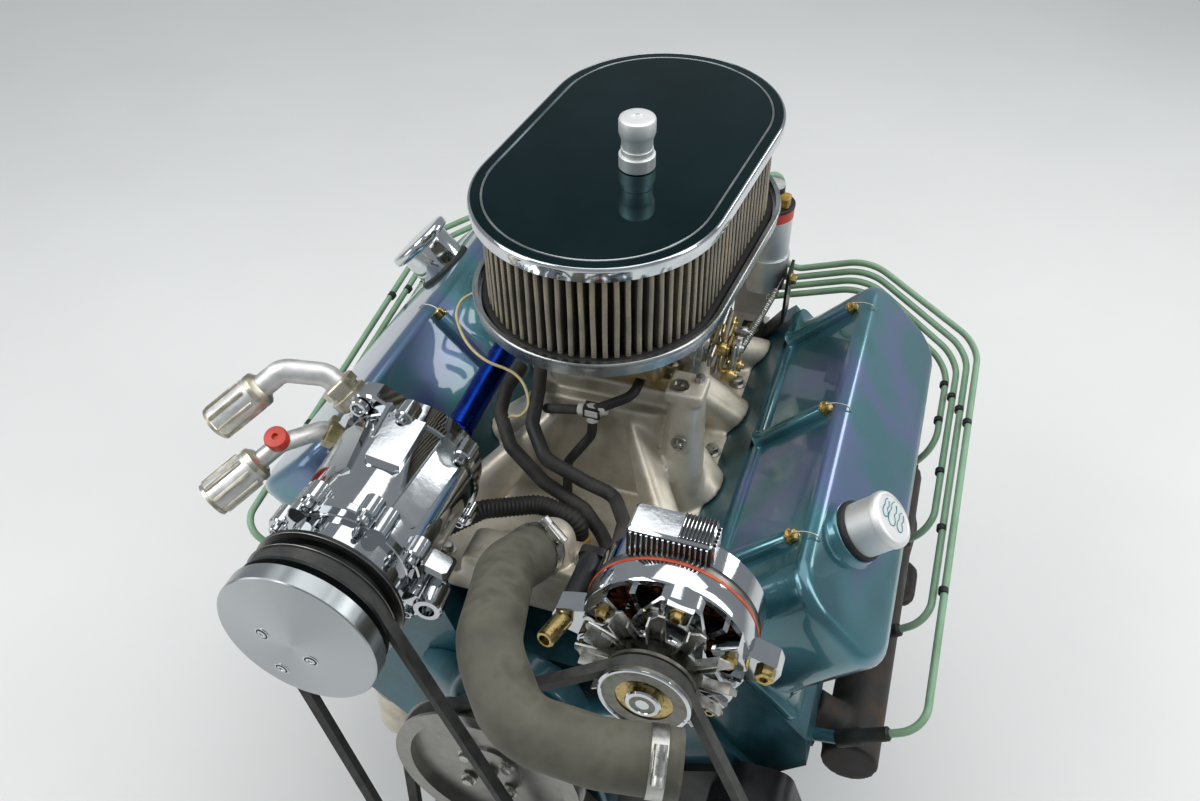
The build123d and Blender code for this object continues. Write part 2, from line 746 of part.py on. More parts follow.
# Alternator bracket: a plate on the right head's front face, and the spacer of the long bolt
head_front = head_end_gap + bank_stagger + head_length
bracket_thickness = 8
pivot_across = ax - ear_reach
with BuildPart() as alternator_bracket:
    with BuildSketch(ahead(head_front)):
        with BuildLine():
            Polyline((pivot_across - 11, az + 8), (pivot_across + 11, az + 8),
                     (pivot_across + 14, az - alternator_r - 2), (140, az - alternator_r - 18), (165, 225),
                     (140, 205), (100, 230), (pivot_across - 8, az - alternator_r - 18), close=True)
        make_face()
        fillet(vertices(), radius=5)
    extrude(amount=bracket_thickness)
    with BuildSketch(ahead(head_front + bracket_thickness)):
        with Locations((pivot_across, az)):
            Circle(9)
    extrude(amount=stator_front + 4 - head_front - bracket_thickness)
save(alternator_bracket, "alternator_bracket")

# Compressor: body with its nose, rear head, pulley on the nose and the clutch's cover
cx, cz = compressor_across, compressor_height
nose_r = 20
clutch_rear = clutch_ahead - clutch_rim
with BuildPart() as compressor_body:
    add(turned(cx, cz, [(0, compressor_rear + 26), (compressor_r, compressor_rear + 26),
                        (compressor_r, compressor_front - 34), (compressor_r - 8, compressor_front - 26),
                        (compressor_r - 8, compressor_front), (nose_r, compressor_front),
                        (nose_r, compressor_belt_ahead + 4), (0, compressor_belt_ahead + 4)]).part)
    for lug in (compressor_rear + 50, compressor_front - 48):
        with BuildSketch(ahead(lug)):
            with Locations((cx, cz - compressor_r - 2)):
                Rectangle(28, 20)
        extrude(amount=14)
    with BuildSketch(ahead(compressor_front - 44)):
        with Locations((cx, cz)):
            with PolarLocations(compressor_r - 1, 5, start_angle=54):
                Circle(8)
    extrude(amount=24)
save(compressor_body, "compressor_body")

with BuildPart() as compressor_rear_head:
    add(turned(cx, cz, [(0, compressor_rear), (compressor_r - 12, compressor_rear),
                        (compressor_r - 2, compressor_rear + 8), (compressor_r - 2, compressor_rear + 26),
                        (0, compressor_rear + 26)]).part)
    with BuildSketch(ahead(compressor_rear + 4)):
        with Locations((cx - 40, cz + 34)):
            Rectangle(44, 30, rotation=45)
    extrude(amount=22)
save(compressor_rear_head, "compressor_rear_head")

hub_face = compressor_belt_ahead + 6
compressor_pulley = pulley(cx, cz, compressor_pulley_r, (compressor_belt_ahead, compressor_belt_ahead - 12),
                           nose_r + 16, nose_r + running_fit, hub_face, compressor_front + 2)
save(compressor_pulley, "compressor_pulley")

clutch_cover = turned(cx, cz, [(0, hub_face), (30, hub_face), (30, clutch_ahead - 6),
                               (clutch_r - 5, clutch_ahead - 6),
                               (clutch_r - 5, clutch_rear), (clutch_r, clutch_rear), (clutch_r, clutch_ahead),
                               (clutch_r - 3, clutch_ahead + 1), (0, clutch_ahead + clutch_dome)])
save(clutch_cover, "clutch_cover")

with BuildPart() as compressor_bracket:
    shelf_top = cz - compressor_r - 12
    with BuildSketch(ahead(head_front - bank_stagger)):
        with BuildLine():
            Polyline((cx - 24, shelf_top), (cx + 4, shelf_top), (-115, 236), (-150, 205), (-166, 232),
                     close=True)
        make_face()
    extrude(amount=bracket_thickness)
    with BuildSketch(ahead(head_front - bank_stagger)):
        with Locations((cx, shelf_top - 5)):
            Rectangle(48, 10)
    extrude(amount=compressor_front - 30 - head_front + bank_stagger)
save(compressor_bracket, "compressor_bracket")

# Refrigerant fittings: bent aluminium tubes from the rear head to their crimp ferrules
ferrule_r, ferrule_hole_r = 15, 9
fittings = (("suction_fitting", 10, (cx - 50.7, -(compressor_rear + 15), cz + 44.7),
             ((-25, 0, 25), (-56, -16, 34), (-76, -32, 17)), (18, 14)),
            ("discharge_fitting", 8, (cx - 59.6, -(compressor_rear + 17), cz + 2),
             ((-22, -8, 14), (-44, -41, 20), (-61, -63, 7)), (16, 14)))
for name, pipe_r, base, steps, bends in fittings:
    route = [base] + [(base[0] + dx, base[1] + dy, base[2] + dz) for dx, dy, dz in steps]
    with BuildPart() as fitting:
        add(tube(route, list(bends), pipe_r).part)
        along = (Vector(*route[-1]) - Vector(*route[-2])).normalized()
        tip = Vector(*route[-1])
        rod(tip - along * 6, tip + along * 42, ferrule_r)
        with BuildSketch(Plane(tip + along * 42, z_dir=along)) as mouth:
            Circle(ferrule_hole_r)
        extrude(mouth.sketch, amount=-30, mode=Mode.SUBTRACT)
    save(fitting, name)

# Power steering pump: reservoir body on a bracket plate, low on the driver's side
sx, sz = steering_across, steering_height
steering_front = alternator_belt_ahead - 23
with BuildPart() as power_steering_pump:
    with BuildSketch(ahead(block_length + bracket_thickness)):
        with BuildLine():
            Polyline((sx - 44, sz - 34), (sx + 44, sz - 34), (sx + 44, sz + 20), (sx + 24, sz + 74),
                     (sx - 24, sz + 74), (sx - 44, sz + 20), close=True)
        make_face()
        fillet(vertices(), radius=16)
    extrude(amount=60)
    with BuildSketch(ahead(block_length + bracket_thickness + 60)):
        with Locations((sx, sz)):
            Circle(26)
    extrude(amount=steering_front - block_length - bracket_thickness - 60)
    with BuildSketch(ahead(steering_front)):
        with Locations((sx, sz)):
            Circle(shaft_r + running_fit)
    extrude(amount=-44, mode=Mode.SUBTRACT)
save(power_steering_pump, "power_steering_pump")

with BuildPart() as steering_bracket:
    with BuildSketch(ahead(block_length)):
        with BuildLine():
            Polyline((84, 5), (84, 70), (sx - 10, sz + 60), (sx + 40, sz), (sx, sz - 40), close=True)
        make_face()
        fillet(vertices(), radius=10)
    extrude(amount=bracket_thickness)
save(steering_bracket, "steering_bracket")

with BuildPart() as power_steering_pulley:
    add(pulley(sx, sz, steering_pulley_r, (alternator_belt_ahead,), 22, shaft_r,
               alternator_belt_ahead + 4, steering_front + 3).part)
    add(turned(sx, sz, [(0, steering_front - 40), (shaft_r, steering_front - 40),
                        (shaft_r, alternator_belt_ahead + 8), (0, alternator_belt_ahead + 8)]).part)
save(power_steering_pulley, "power_steering_pulley")

# Belts, each a closed loop in its grooves
alternator_belt = belt(((0, 0, crank_pulley_r), (sx, sz, steering_pulley_r), (ax, az, alternator_pulley_r),
                        (0, pump_height, pump_pulley_r)), alternator_belt_ahead)
save(alternator_belt, "alternator_belt")
compressor_belt = belt(((0, 0, crank_pulley_r), (cx, cz, compressor_pulley_r)), compressor_belt_ahead)
save(compressor_belt, "compressor_belt")

# Distributor at the rear, its cap with nine towers, and the ignition coil beside it
slab_top = inner_high[1]
distributor_ahead, tower_circle_r, tower_turn = 70, 34, 22.5
with BuildPart() as distributor:
    for radius, low, high in ((30, 0, 70), (46, 70, 110)):
        with BuildSketch(Plane.XY.offset(slab_top + low)):
            with Locations((0, -distributor_ahead)):
                Circle(radius)
        extrude(amount=high - low)
    with BuildSketch(Plane.XY.offset(slab_top + 110)):
        with Locations((0, -distributor_ahead)):
            Circle(8)
            with PolarLocations(tower_circle_r, 8, start_angle=tower_turn):
                Circle(7)
    extrude(amount=18)
save(distributor, "distributor")

coil_r, coil_across, coil_low = 24, 96, 62
bracket_ahead = manifold_middle - manifold_length / 2
with BuildPart() as ignition_coil:
    with BuildSketch(ahead(bracket_ahead)):
        with Locations((coil_across - 14, slab_top + coil_low / 2 + 20)):
            Rectangle(36, coil_low + 40)
    extrude(amount=4)
    for radius, low, high in ((coil_r, coil_low, coil_low + 100), (coil_r + 2, coil_low + 12, coil_low + 40),
                              (12, coil_low + 100, coil_low + 122)):
        with BuildSketch(Plane.XY.offset(slab_top + low)):
            with Locations((coil_across, -(bracket_ahead + 3 + coil_r))):
                Circle(radius)
        extrude(amount=high - low)
save(ignition_coil, "ignition_coil")

# Exhaust manifolds: a log along each head with four ports and an outlet flange
exhaust_r, port_r, outlet_r, outlet_hole_r = 26, 20, 30, 25
for side, name in ((1, "right"), (-1, "left")):
    middle = head_end_gap + (bank_stagger if side > 0 else 0) + head_length / 2
    face_x, face_z = bank_point(side, deck_height + 30, deck_outer)
    log_x, log_z = face_x + side * 48, face_z - 26
    with BuildPart() as exhaust:
        for cylinder in range(4):
            at = middle + (cylinder - 1.5) * bore_spacing
            rod((face_x, -at, face_z), (log_x, -at, log_z), port_r)
        rod((log_x, -(middle - 200), log_z), (log_x, -(middle + 200), log_z), exhaust_r)
        rod((log_x, -(middle - 120), log_z), (log_x, -(middle - 120), log_z - 90), outlet_r)
        with BuildSketch(Plane.XY.offset(log_z - 90)) as flange:
            with Locations((log_x, -(middle - 120))):
                RectangleRounded(92, 70, 20)
        extrude(flange.sketch, amount=-10)
        with BuildSketch(Plane.XY.offset(log_z - 100)) as mouth:
            with Locations((log_x, -(middle - 120))):
                Circle(outlet_hole_r)
        extrude(mouth.sketch, amount=50, mode=Mode.SUBTRACT)
        with BuildSketch(bank(side, 0)) as head_side:
            with Locations((0, 0)):
                Rectangle(2 * deck_outer, 4 * head_length)
        extrude(head_side.sketch, amount=500, mode=Mode.SUBTRACT)
    save(exhaust, f"exhaust_manifold_{name}")

# Oil filter, fuel pump, starter and engine mounts on the block's sides
with BuildPart() as oil_filter:
    with BuildSketch(Plane((pan_rail_half, -90, -4), z_dir=(1, 0, 0))) as adapter:
        Rectangle(48, 34)
    extrude(adapter.sketch, amount=58)
    rod((pan_rail_half + 44, -90, -18), (pan_rail_half + 44, -90, -118), 38)
save(oil_filter, "oil_filter")

with BuildPart() as fuel_pump:
    with BuildSketch(Plane((-pan_rail_half, -(block_length - 60), -10), z_dir=(-1, 0, 0))) as pad:
        RectangleRounded(60, 50, 10)
    extrude(pad.sketch, amount=30)
    with BuildSketch(Plane((-pan_rail_half - 46, -(block_length - 60), -42), z_dir=(0, 0, 1))):
        Circle(38)
    extrude(amount=60)
save(fuel_pump, "fuel_pump")

starter_across = -pan_rail_half - 44
with BuildPart() as starter:
    rod((starter_across, -bell_thickness, -96), (starter_across, -(bell_thickness + 190), -96), 38)
    rod((starter_across, -bell_thickness, -38), (starter_across, -(bell_thickness + 110), -38), 24)
    with BuildSketch(ahead(bell_thickness)) as flange:
        with Locations((starter_across, -76)):
            RectangleRounded(84, 120, 20)
    extrude(flange.sketch, amount=12)
save(starter, "starter")

mount_drop, mount_hole_r, mount_half = 6, 6.2, 32
mount_reach, mount_fall, mount_lug_r = 70, 58, 20
for side, name in ((1, "right"), (-1, "left")):
    mount_ahead = 338 + side * bank_stagger / 2
    with BuildPart() as engine_mount:
        with BuildSketch(Plane((side * pan_rail_half, -mount_ahead, -mount_drop), z_dir=(side, 0, 0))) as pad:
            RectangleRounded(2 * mount_half, 84, 10)
        extrude(pad.sketch, amount=10)
        hole_across = pan_rail_half + mount_reach
        dx, dz = 0.6 * mount_lug_r, 0.8 * mount_lug_r
        upper, lower = dz + (mount_reach + dx) * 0.75, -dz + (mount_reach - dx) * 0.75
        with BuildSketch(ahead(mount_ahead - mount_half)) as arm:
            with BuildLine():
                Polyline((side * pan_rail_half, upper - mount_fall),
                         (side * (hole_across + dx), dz - mount_fall),
                         (side * (hole_across - dx), -dz - mount_fall),
                         (side * pan_rail_half, lower - mount_fall), close=True)
            make_face()
            with Locations((side * hole_across, -mount_fall)):
                Circle(mount_lug_r)
                Circle(mount_hole_r, mode=Mode.SUBTRACT)
        extrude(arm.sketch, amount=2 * mount_half)
    save(engine_mount, f"engine_mount_{name}")

# Fuel filter: a blue anodised tube between the left cover and the manifold, its line up to the carburettor
filter_top, filter_low = Vector(-112, -300, 345), Vector(-122, -392, 318)
filter_along = (filter_low - filter_top).normalized()
with BuildPart() as fuel_filter:
    rod(filter_top, filter_low, 13)
    rod(filter_low, filter_low + filter_along * 16, 11)
    rod(filter_low + filter_along * 16, filter_low + filter_along * 34, 8)
    rod(filter_top, filter_top - filter_along * 14, 9)
save(fuel_filter, "fuel_filter")

# Plug wires: four on each side, from the distributor down behind the manifold, round the covers' rear ends
# and forward to the plugs
wire_r = 3.6
wire_rear = {1: 34, -1: 18.5}
for side, name in ((1, "right"), (-1, "left")):
    start = head_end_gap + (bank_stagger if side > 0 else 0)
    middle = start + head_length / 2
    cap_z = slab_top + 128
    with BuildPart() as plug_wires:
        for cylinder in range(4):
            at = middle + (cylinder - 1.5) * bore_spacing
            spread = 9 * cylinder
            angle = radians(3 * tower_turn - 45 * cylinder)
            tower = (side * tower_circle_r * cos(angle), -distributor_ahead + tower_circle_r * sin(angle))
            x, z = bank_point(side, deck_height + 26, deck_outer - 12)
            plug_end = (x + side * 47.5, -at - plug_offset, z + 10)
            rear = wire_rear[side] - 4.5 * cylinder
            points = [(tower[0], tower[1], cap_z), (tower[0], tower[1], cap_z + 18 + spread),
                      (side * (70 + spread), -rear, cap_z + 18 + spread),
                      (side * (84 + spread), -rear, 275 + 1.3 * spread), (side * 205, -rear, 316 + spread),
                      (side * (312 + spread), -rear, 232 + spread),
                      (side * (312 + spread), -at - plug_offset, z + 80 - spread), plug_end]
            add(tube(points, [10, 14, 20, 50, 30, 24], wire_r).part)
    save(plug_wires, f"plug_wires_{name}")

# Small lines: each is a tube along (across, along, up) points, with the bend at each inner point
small_lines = (
    ("fuel_line", 4, ((-110.5, -286.4, 349), (-108, -262, 356), (-84, -240, pad_height + 29.5),
                      (-42.7, -240, pad_height + 29.5)), (14, 18)),
    ("wire_loom", 9, ((-98, -488, 288), (-68, -466, 300), (-22, -447, 303), (16, -452, 301),
                      (16, -452, 275.2)), (24, 30, 14)))
for name, line_r, points, bends in small_lines:
    save(tube(points, bends, line_r), name)

# Heater hoses: two loops over the front of the manifold into its water passage
heater_hose_r = 6.5
heater_routes = (
    ((-88, -318, 344), (-90, -352, 343), (-86, -378, 336), (-66, -404, 322), (-28, -420, 303),
     (12, -424, 285), (32, -436, 272), (48, -456, 269), (48, -471.9, 269)),
    ((-66, -318, 368), (-52, -366, 362), (-46, -399, 350), (-26, -421, 334), (9, -416, 312), (36, -412, 299),
     (56, -446, 304), (60, -490, 302), (60, -490, 286.4)))
with BuildPart() as heater_hoses:
    for points in heater_routes:
        add(tube(points, [13] * (len(points) - 3) + [7], heater_hose_r).part)
save(heater_hoses, "heater_hoses")

# Vacuum hose with its tee: from the plenum to the carburettor, and a branch down to the slab
vacuum_hose_r = 4.5
with BuildPart() as vacuum_hose:
    tee = (2, -371, pad_height - 17.5)
    port_height = pad_height + 7.5
    add(tube(((-44, -360, plenum_top - 14), (-42, -374, plenum_top - 2), tee, (38, -369, port_height),
              (38, -341, port_height)), (8, 30, 10), vacuum_hose_r).part)
    add(tube(((2, -371, tee[2] - 1), (2, -374, tee[2] - 27), (-18, -386, 300), (-18, -386, slab_top + 0.2)),
             (16, 16), vacuum_hose_r).part)
    with Locations(tee):
        Box(16, 11, 11)
save(vacuum_hose, "vacuum_hose")

# Coolant sender under the loom's end: a hexagon on the slab and its round plug
with BuildPart() as coolant_sender:
    with BuildSketch(Plane.XY.offset(slab_top)) as hexagon:
        with Locations((16, -452)):
            RegularPolygon(9, 6)
    extrude(hexagon.sketch, amount=9)
    with BuildSketch(Plane.XY.offset(slab_top + 9)) as plug:
        with Locations((16, -452)):
            Circle(6.5)
    extrude(plug.sketch, amount=8)
save(coolant_sender, "coolant_sender")

# Throttle bracket: one bent plate from the slab up to the spring's hook, and the return spring to the lever
plate, hook_across = 3, 128
with BuildPart() as throttle_bracket:
    with BuildSketch(ahead(60)):
        with BuildLine():
            Polyline((80, slab_top), (106.4, slab_top), (hook_across, slab_top + 31), (hook_across, 352),
                     (hook_across - plate, 352), (hook_across - plate, slab_top + 32),
                     (104.8, slab_top + plate), (80, slab_top + plate), close=True)
        make_face()
    extrude(amount=32)
save(throttle_bracket, "throttle_bracket")
spring_r = 4
with BuildPart() as return_spring:
    rod((hook_across - plate - spring_r, -88, 344),
        (carb_across + lever_across + 3 + spring_r, -264, pad_height - 18.5), spring_r)
save(return_spring, "return_spring")
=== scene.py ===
from math import cos, pi, radians, sin, sqrt, tan

import bmesh
import bpy
from mathutils import Matrix, Vector


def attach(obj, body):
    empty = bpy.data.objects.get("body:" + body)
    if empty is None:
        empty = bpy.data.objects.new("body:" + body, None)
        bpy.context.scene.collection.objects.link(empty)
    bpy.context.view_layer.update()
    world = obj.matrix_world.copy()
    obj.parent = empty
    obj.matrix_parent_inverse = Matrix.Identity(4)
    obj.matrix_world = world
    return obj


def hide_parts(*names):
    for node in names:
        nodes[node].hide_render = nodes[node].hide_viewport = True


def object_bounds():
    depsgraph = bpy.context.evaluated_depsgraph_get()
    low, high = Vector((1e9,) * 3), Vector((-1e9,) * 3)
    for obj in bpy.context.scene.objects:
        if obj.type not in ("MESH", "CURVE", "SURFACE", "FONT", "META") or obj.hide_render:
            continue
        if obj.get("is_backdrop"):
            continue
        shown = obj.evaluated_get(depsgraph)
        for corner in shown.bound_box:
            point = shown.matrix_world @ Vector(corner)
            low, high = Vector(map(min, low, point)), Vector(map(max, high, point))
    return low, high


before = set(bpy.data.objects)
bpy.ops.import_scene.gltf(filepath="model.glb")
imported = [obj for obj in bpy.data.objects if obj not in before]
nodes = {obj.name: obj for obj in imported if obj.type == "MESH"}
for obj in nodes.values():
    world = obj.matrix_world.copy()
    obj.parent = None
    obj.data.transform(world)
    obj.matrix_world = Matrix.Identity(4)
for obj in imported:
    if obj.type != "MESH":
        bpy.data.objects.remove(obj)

cad_low, cad_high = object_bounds()

# Camera: over the front right corner, looking down and back across the engine.
# Its place, turn and lens were worked out so that the engine's main edges fall where the picture has them.
camera_at = Vector((0.238, -1.077, 1.000))
heading, pitch, roll = radians(18), radians(40.3), radians(0.4)
lens_in_pixels, picture_width = 1095, 1200
look = Vector((-sin(heading) * cos(pitch), cos(heading) * cos(pitch), -sin(pitch)))
level = Vector((cos(heading), sin(heading), 0))
upward = level.cross(look)
photo_right = level * cos(roll) + upward * sin(roll)
photo_up = upward * cos(roll) - level * sin(roll)
lens = bpy.data.cameras.new("camera")
lens.sensor_width = 36
lens.lens = 36 * lens_in_pixels / picture_width
lens.clip_start = 0.05
camera = bpy.data.objects.new("camera", lens)
turned_to_look = Matrix((photo_right, photo_up, -look)).transposed().to_4x4()
camera.matrix_world = Matrix.Translation(camera_at) @ turned_to_look
bpy.context.scene.collection.objects.link(camera)
bpy.context.scene.camera = camera
bpy.context.scene.view_settings.view_transform = "Standard"

# Studio: a sheet of white paper under the sump, a plain grey world and soft lamps. The overhead lamp is high
# and wide, so that the paper stays pale and even behind the engine and still takes the engine's shadow.


def linear(hex_colour):
    """A colour written as sRGB hex, as linear red, green, blue and alpha."""
    parts = [int(hex_colour[i:i + 2], 16) / 255 for i in (1, 3, 5)]
    return [c / 12.92 if c <= 0.04045 else ((c + 0.055) / 1.055) ** 2.4 for c in parts] + [1]


def add(tree, kind, settings=None, links=None):
    """Adds a shader node: settings go to its sockets or properties, links join sockets to its inputs."""
    made = tree.nodes.new(kind)
    for key, value in (settings or {}).items():
        if key in made.inputs:
            made.inputs[key].default_value = value
        else:
            setattr(made, key, value)
    for key, source in (links or {}).items():
        tree.links.new(source, made.inputs[key])
    return made


def surface(name, colours, roughness, patch=None, grain=None, metallic=0.0, detail=5, **sockets):
    """A material named for the real one. With a patch, in millimetres, its colours and its two roughnesses
    drift over patches of that size, and more detail breaks them up finer. Grain is the width and height of a
    fine bump, in millimetres: most real grain is a few tenths wide, too fine to show, and is drawn 0.7 to
    2 mm wide. What is the same all over is set on the shader's own sockets."""
    made = bpy.data.materials.new(name)
    made.use_nodes = True
    tree = made.node_tree
    tree.nodes.clear()
    drifts = isinstance(roughness, tuple)
    settings = {"Base Color": linear(colours[0]), "Metallic": metallic,
                "Roughness": roughness[0] if drifts else roughness}
    settings.update({key.replace("_", " "): value for key, value in sockets.items()})
    shader = add(tree, "ShaderNodeBsdfPrincipled", settings)
    add(tree, "ShaderNodeOutputMaterial", links={"Surface": shader.outputs[0]})
    if not patch:
        return made
    place = add(tree, "ShaderNodeTexCoord")
    patches = add(tree, "ShaderNodeTexNoise", {"Scale": 1000 / patch, "Detail": detail, "Roughness": 0.6},
                  {"Vector": place.outputs["Object"]})
    ramp = add(tree, "ShaderNodeValToRGB", links={"Fac": patches.outputs["Fac"]})
    stops = ramp.color_ramp.elements
    first, last = 0.34, 0.66     # nearly all of the noise lies between these
    stops[0].position, stops[1].position = first, last
    stops[0].color, stops[1].color = linear(colours[0]), linear(colours[-1])
    for i, colour in enumerate(colours[1:-1], 1):
        stops.new(first + (last - first) * i / (len(colours) - 1)).color = linear(colour)
    tree.links.new(ramp.outputs[0], shader.inputs["Base Color"])
    if drifts:
        spread = add(tree, "ShaderNodeMapRange", {"From Min": 0.35, "From Max": 0.65,
                                                  "To Min": roughness[0], "To Max": roughness[1]},
                     {"Value": patches.outputs["Fac"]})
        tree.links.new(spread.outputs[0], shader.inputs["Roughness"])
    if grain:
        width, height = grain
        grains = add(tree, "ShaderNodeTexNoise", {"Scale": 1000 / width, "Detail": 3},
                     {"Vector": place.outputs["Object"]})
        raised = add(tree, "ShaderNodeBump", {"Strength": 1, "Distance": height / 1000},
                     {"Height": grains.outputs["Fac"]})
        tree.links.new(raised.outputs[0], shader.inputs["Normal"])
    return made


# Paper is matt all over, with hardly a change of white from one end of the sheet to the other.
paper = surface("white studio paper", ("#e6e6e4", "#ebebe9"), (0.85, 0.95), patch=900)
under_sump = 0.004
sheet = bmesh.new()
bmesh.ops.create_grid(sheet, x_segments=8, y_segments=8, size=6,
                      matrix=Matrix.Translation((0, 0, cad_low.z - under_sump)))
sheet_mesh = bpy.data.meshes.new("studio_floor")
sheet.to_mesh(sheet_mesh)
sheet_mesh.materials.append(paper)
studio_floor = bpy.data.objects.new("studio_floor", sheet_mesh)
bpy.context.scene.collection.objects.link(studio_floor)
studio_floor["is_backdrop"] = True

world = bpy.data.worlds.new("studio")
bpy.context.scene.world = world
world.use_nodes = True
world.node_tree.nodes.clear()
sky = add(world.node_tree, "ShaderNodeBackground", {"Color": linear("#cdd3d8"), "Strength": 0.52})
add(world.node_tree, "ShaderNodeOutputWorld", links={"Surface": sky.outputs[0]})

lit_point = Vector((0, -0.3, 0.2))
for name, at, size, power in (("window", (-1.2, -1.1, 2.0), (1.5, 0.8), 21),
                              ("strip", (1.5, -0.3, 1.5), (0.5, 1.6), 13),
                              ("overhead", (0.3, 0.5, 4.2), (4.0, 3.4), 74),
                              ("rear", (1.6, 1.4, 1.3), (0.9, 0.6), 9),
                              ("card", (-1.5, -1.5, 0.7), (0.9, 0.9), 5)):
    lamp = bpy.data.lights.new(name, "AREA")
    lamp.shape, lamp.size, lamp.size_y, lamp.energy = "RECTANGLE", size[0], size[1], power
    holder = bpy.data.objects.new(name, lamp)
    holder.location = at
    holder.rotation_euler = (lit_point - holder.location).to_track_quat("-Z", "Y").to_euler()
    bpy.context.scene.collection.objects.link(holder)

# Cylinder block, heads and oil pan: cast iron, and for the pan pressed steel, sprayed in one teal before the
# engine was dressed. Hexagon bolts hold the heads on from above, and the pan from below.
bore_spacing = 112
bank_middle = {1: 284, -1: 262}     # of the right and left bank, seen from the front; ahead of the rear face
lean = sqrt(0.5)                    # a bank leans 45 degrees, so a step up it goes as far out as up
ahead, plumb = Vector((0, -1, 0)), Vector((0, 0, 1))


def on_bank(side, outward, along, up):
    """A point on a bank in millimetres: outward of the bores' axis, along Y, up from the crankshaft."""
    return Vector((side * lean * (up + outward), along, lean * (up - outward)))


def skin(shape, rings, close_start=True, close_end=True):
    """Joins rings of points, all with the same count, into a skin; the first and last may be capped."""
    rows = [[shape.verts.new(p) for p in ring] for ring in rings]
    count = len(rows[0])
    for a, b in zip(rows, rows[1:]):
        for i in range(count):
            j = (i + 1) % count
            shape.faces.new((a[i], a[j], b[j], b[i]))
    if close_start:
        shape.faces.new(list(reversed(rows[0])))
    if close_end:
        shape.faces.new(rows[-1])


def turn(shape, outline, at, axis, sides=48, band=False):
    """Turns (radius, distance) points about an axis, in millimetres from at; 6 sides make a hexagon. A band
    is open in the middle, and its outline is closed on itself."""
    axis = Vector(axis).normalized()
    across = axis.orthogonal().normalized()
    other = axis.cross(across)
    at = Vector(at)
    least = 0.02     # a point on the axis becomes a ring too small to see
    rings = []
    for radius, distance in outline + outline[:1] if band else outline:
        rings.append([(at + axis * distance + (across * cos(a) + other * sin(a)) * max(radius, least)) / 1000
                      for a in (2 * pi * i / sides for i in range(sides))])
    skin(shape, rings, not band, not band)


def hex_bolt(shape, at, axis, size, high=6.5):
    """A hexagon head with a chamfer on its washer; size is the radius to its corners."""
    turn(shape, [(size * 1.35, 0), (size * 1.35, 1.4), (size * 0.9, 1.5)], at, axis, 24)
    turn(shape, [(size, 1.5), (size, high), (size * 0.86, high + 1.2)], at, axis, 6)
    turn(shape, [(size * 0.86, high), (size * 0.84, high + 1.3), (size * 0.6, high + 1.6)], at, axis, 24)


def settle(made, body, instead=()):
    """Hangs a piece on the empty of the body that it rides on, and hides the solids that it shows instead of.
    """
    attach(made, body)
    if instead:
        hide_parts(*instead)


def piece(name, shape, finish, body="engine", instead=(), angle=35):
    """Makes the mesh object, and shades it smooth up to an angle in degrees."""
    bmesh.ops.recalc_face_normals(shape, faces=shape.faces)
    mesh = bpy.data.meshes.new(name)
    shape.to_mesh(mesh)
    shape.free()
    made = bpy.data.objects.new(name, mesh)
    bpy.context.scene.collection.objects.link(made)
    mesh.materials.append(finish)
    mesh.shade_smooth()
    mesh.set_sharp_from_angle(angle=radians(angle))
    settle(made, body, instead)


def dress(name, finish, edge=0.0):
    """Gives a CAD node its finish, and rounds its sharp edges with a bevel of that width in millimetres."""
    solid, sharp = nodes[name], radians(40)
    for held in solid.material_slots:
        held.material = finish
    solid.data.shade_smooth()
    solid.data.set_sharp_from_angle(angle=sharp)
    if edge:
        rounding = solid.modifiers.new("rounded edges", "BEVEL")
        rounding.width, rounding.segments, rounding.limit_method = edge / 1000, 2, "ANGLE"
        rounding.angle_limit, rounding.harden_normals = sharp, True


# Flakes in the base coat drift from teal to a cold violet, and the clear coat lays one sharp reflection over
# them. Single flakes are too fine to show, so the drift is drawn as wide as a hand, and orange peel at 2 mm.
teal = surface("metallic teal paint under clear coat", ("#33646e", "#447d88", "#5f6f99", "#3d7580"),
               (0.26, 0.34), patch=160, grain=(2.2, 0.012), metallic=0.62, detail=2, Coat_Weight=1.0,
               Coat_Roughness=0.03, Coat_IOR=1.5)
# Over rough iron the same paint looks darker and duller, and the casting's pimples break up its shine.
painted_iron = surface("teal paint on cast iron", ("#183f48", "#24535e", "#2f6470"), (0.32, 0.5), patch=50,
                       grain=(1.6, 0.22), metallic=0.35, Coat_Weight=0.6, Coat_Roughness=0.12)
for name in ("block", "cylinder_head_right", "cylinder_head_left", "timing_cover"):
    dress(name, painted_iron, 2.0)
dress("oil_pan", painted_iron, 1.5)
# Zinc plate is a pale, slightly cloudy silver that goes dull in spots smaller than a bolt's head.
zinc = surface("bright zinc plated steel", ("#9d9c96", "#c2c2bd"), (0.22, 0.42), patch=8, metallic=1.0)
shape = bmesh.new()
for side in (1, -1):
    for i in range(5):
        along = -(bank_middle[side] + (i - 2) * bore_spacing)
        hex_bolt(shape, on_bank(side, 74, along, 262), (side, 0, -1), 7)
pan_bolt_x, pan_bolt_z, pan_bolt_spacing = 116, -62, 56
for i in range(9):
    for side in (1, -1):
        hex_bolt(shape, (side * pan_bolt_x, -(40 + i * pan_bolt_spacing), pan_bolt_z), (0, 0, -1), 5, 4)
piece("head_and_pan_bolts", shape, zinc)

# Valve covers: tall die-cast covers over the rockers, painted with the block. Each has a bolt rail, a flat
# top with rounded corners, and cast posts up the inner side for the long bolts that hold it down.


def rounded(width, length, radius):
    """Corner-rounded rectangle about the origin, the same number of points for any size."""
    steps = 8
    points = []
    for sx, sy, first in ((1, 1, 0), (-1, 1, 90), (-1, -1, 180), (1, -1, 270)):
        for i in range(steps + 1):
            a = radians(first + 90 * i / steps)
            points.append((sx * (width / 2 - radius) + radius * cos(a),
                           sy * (length / 2 - radius) + radius * sin(a)))
    return points


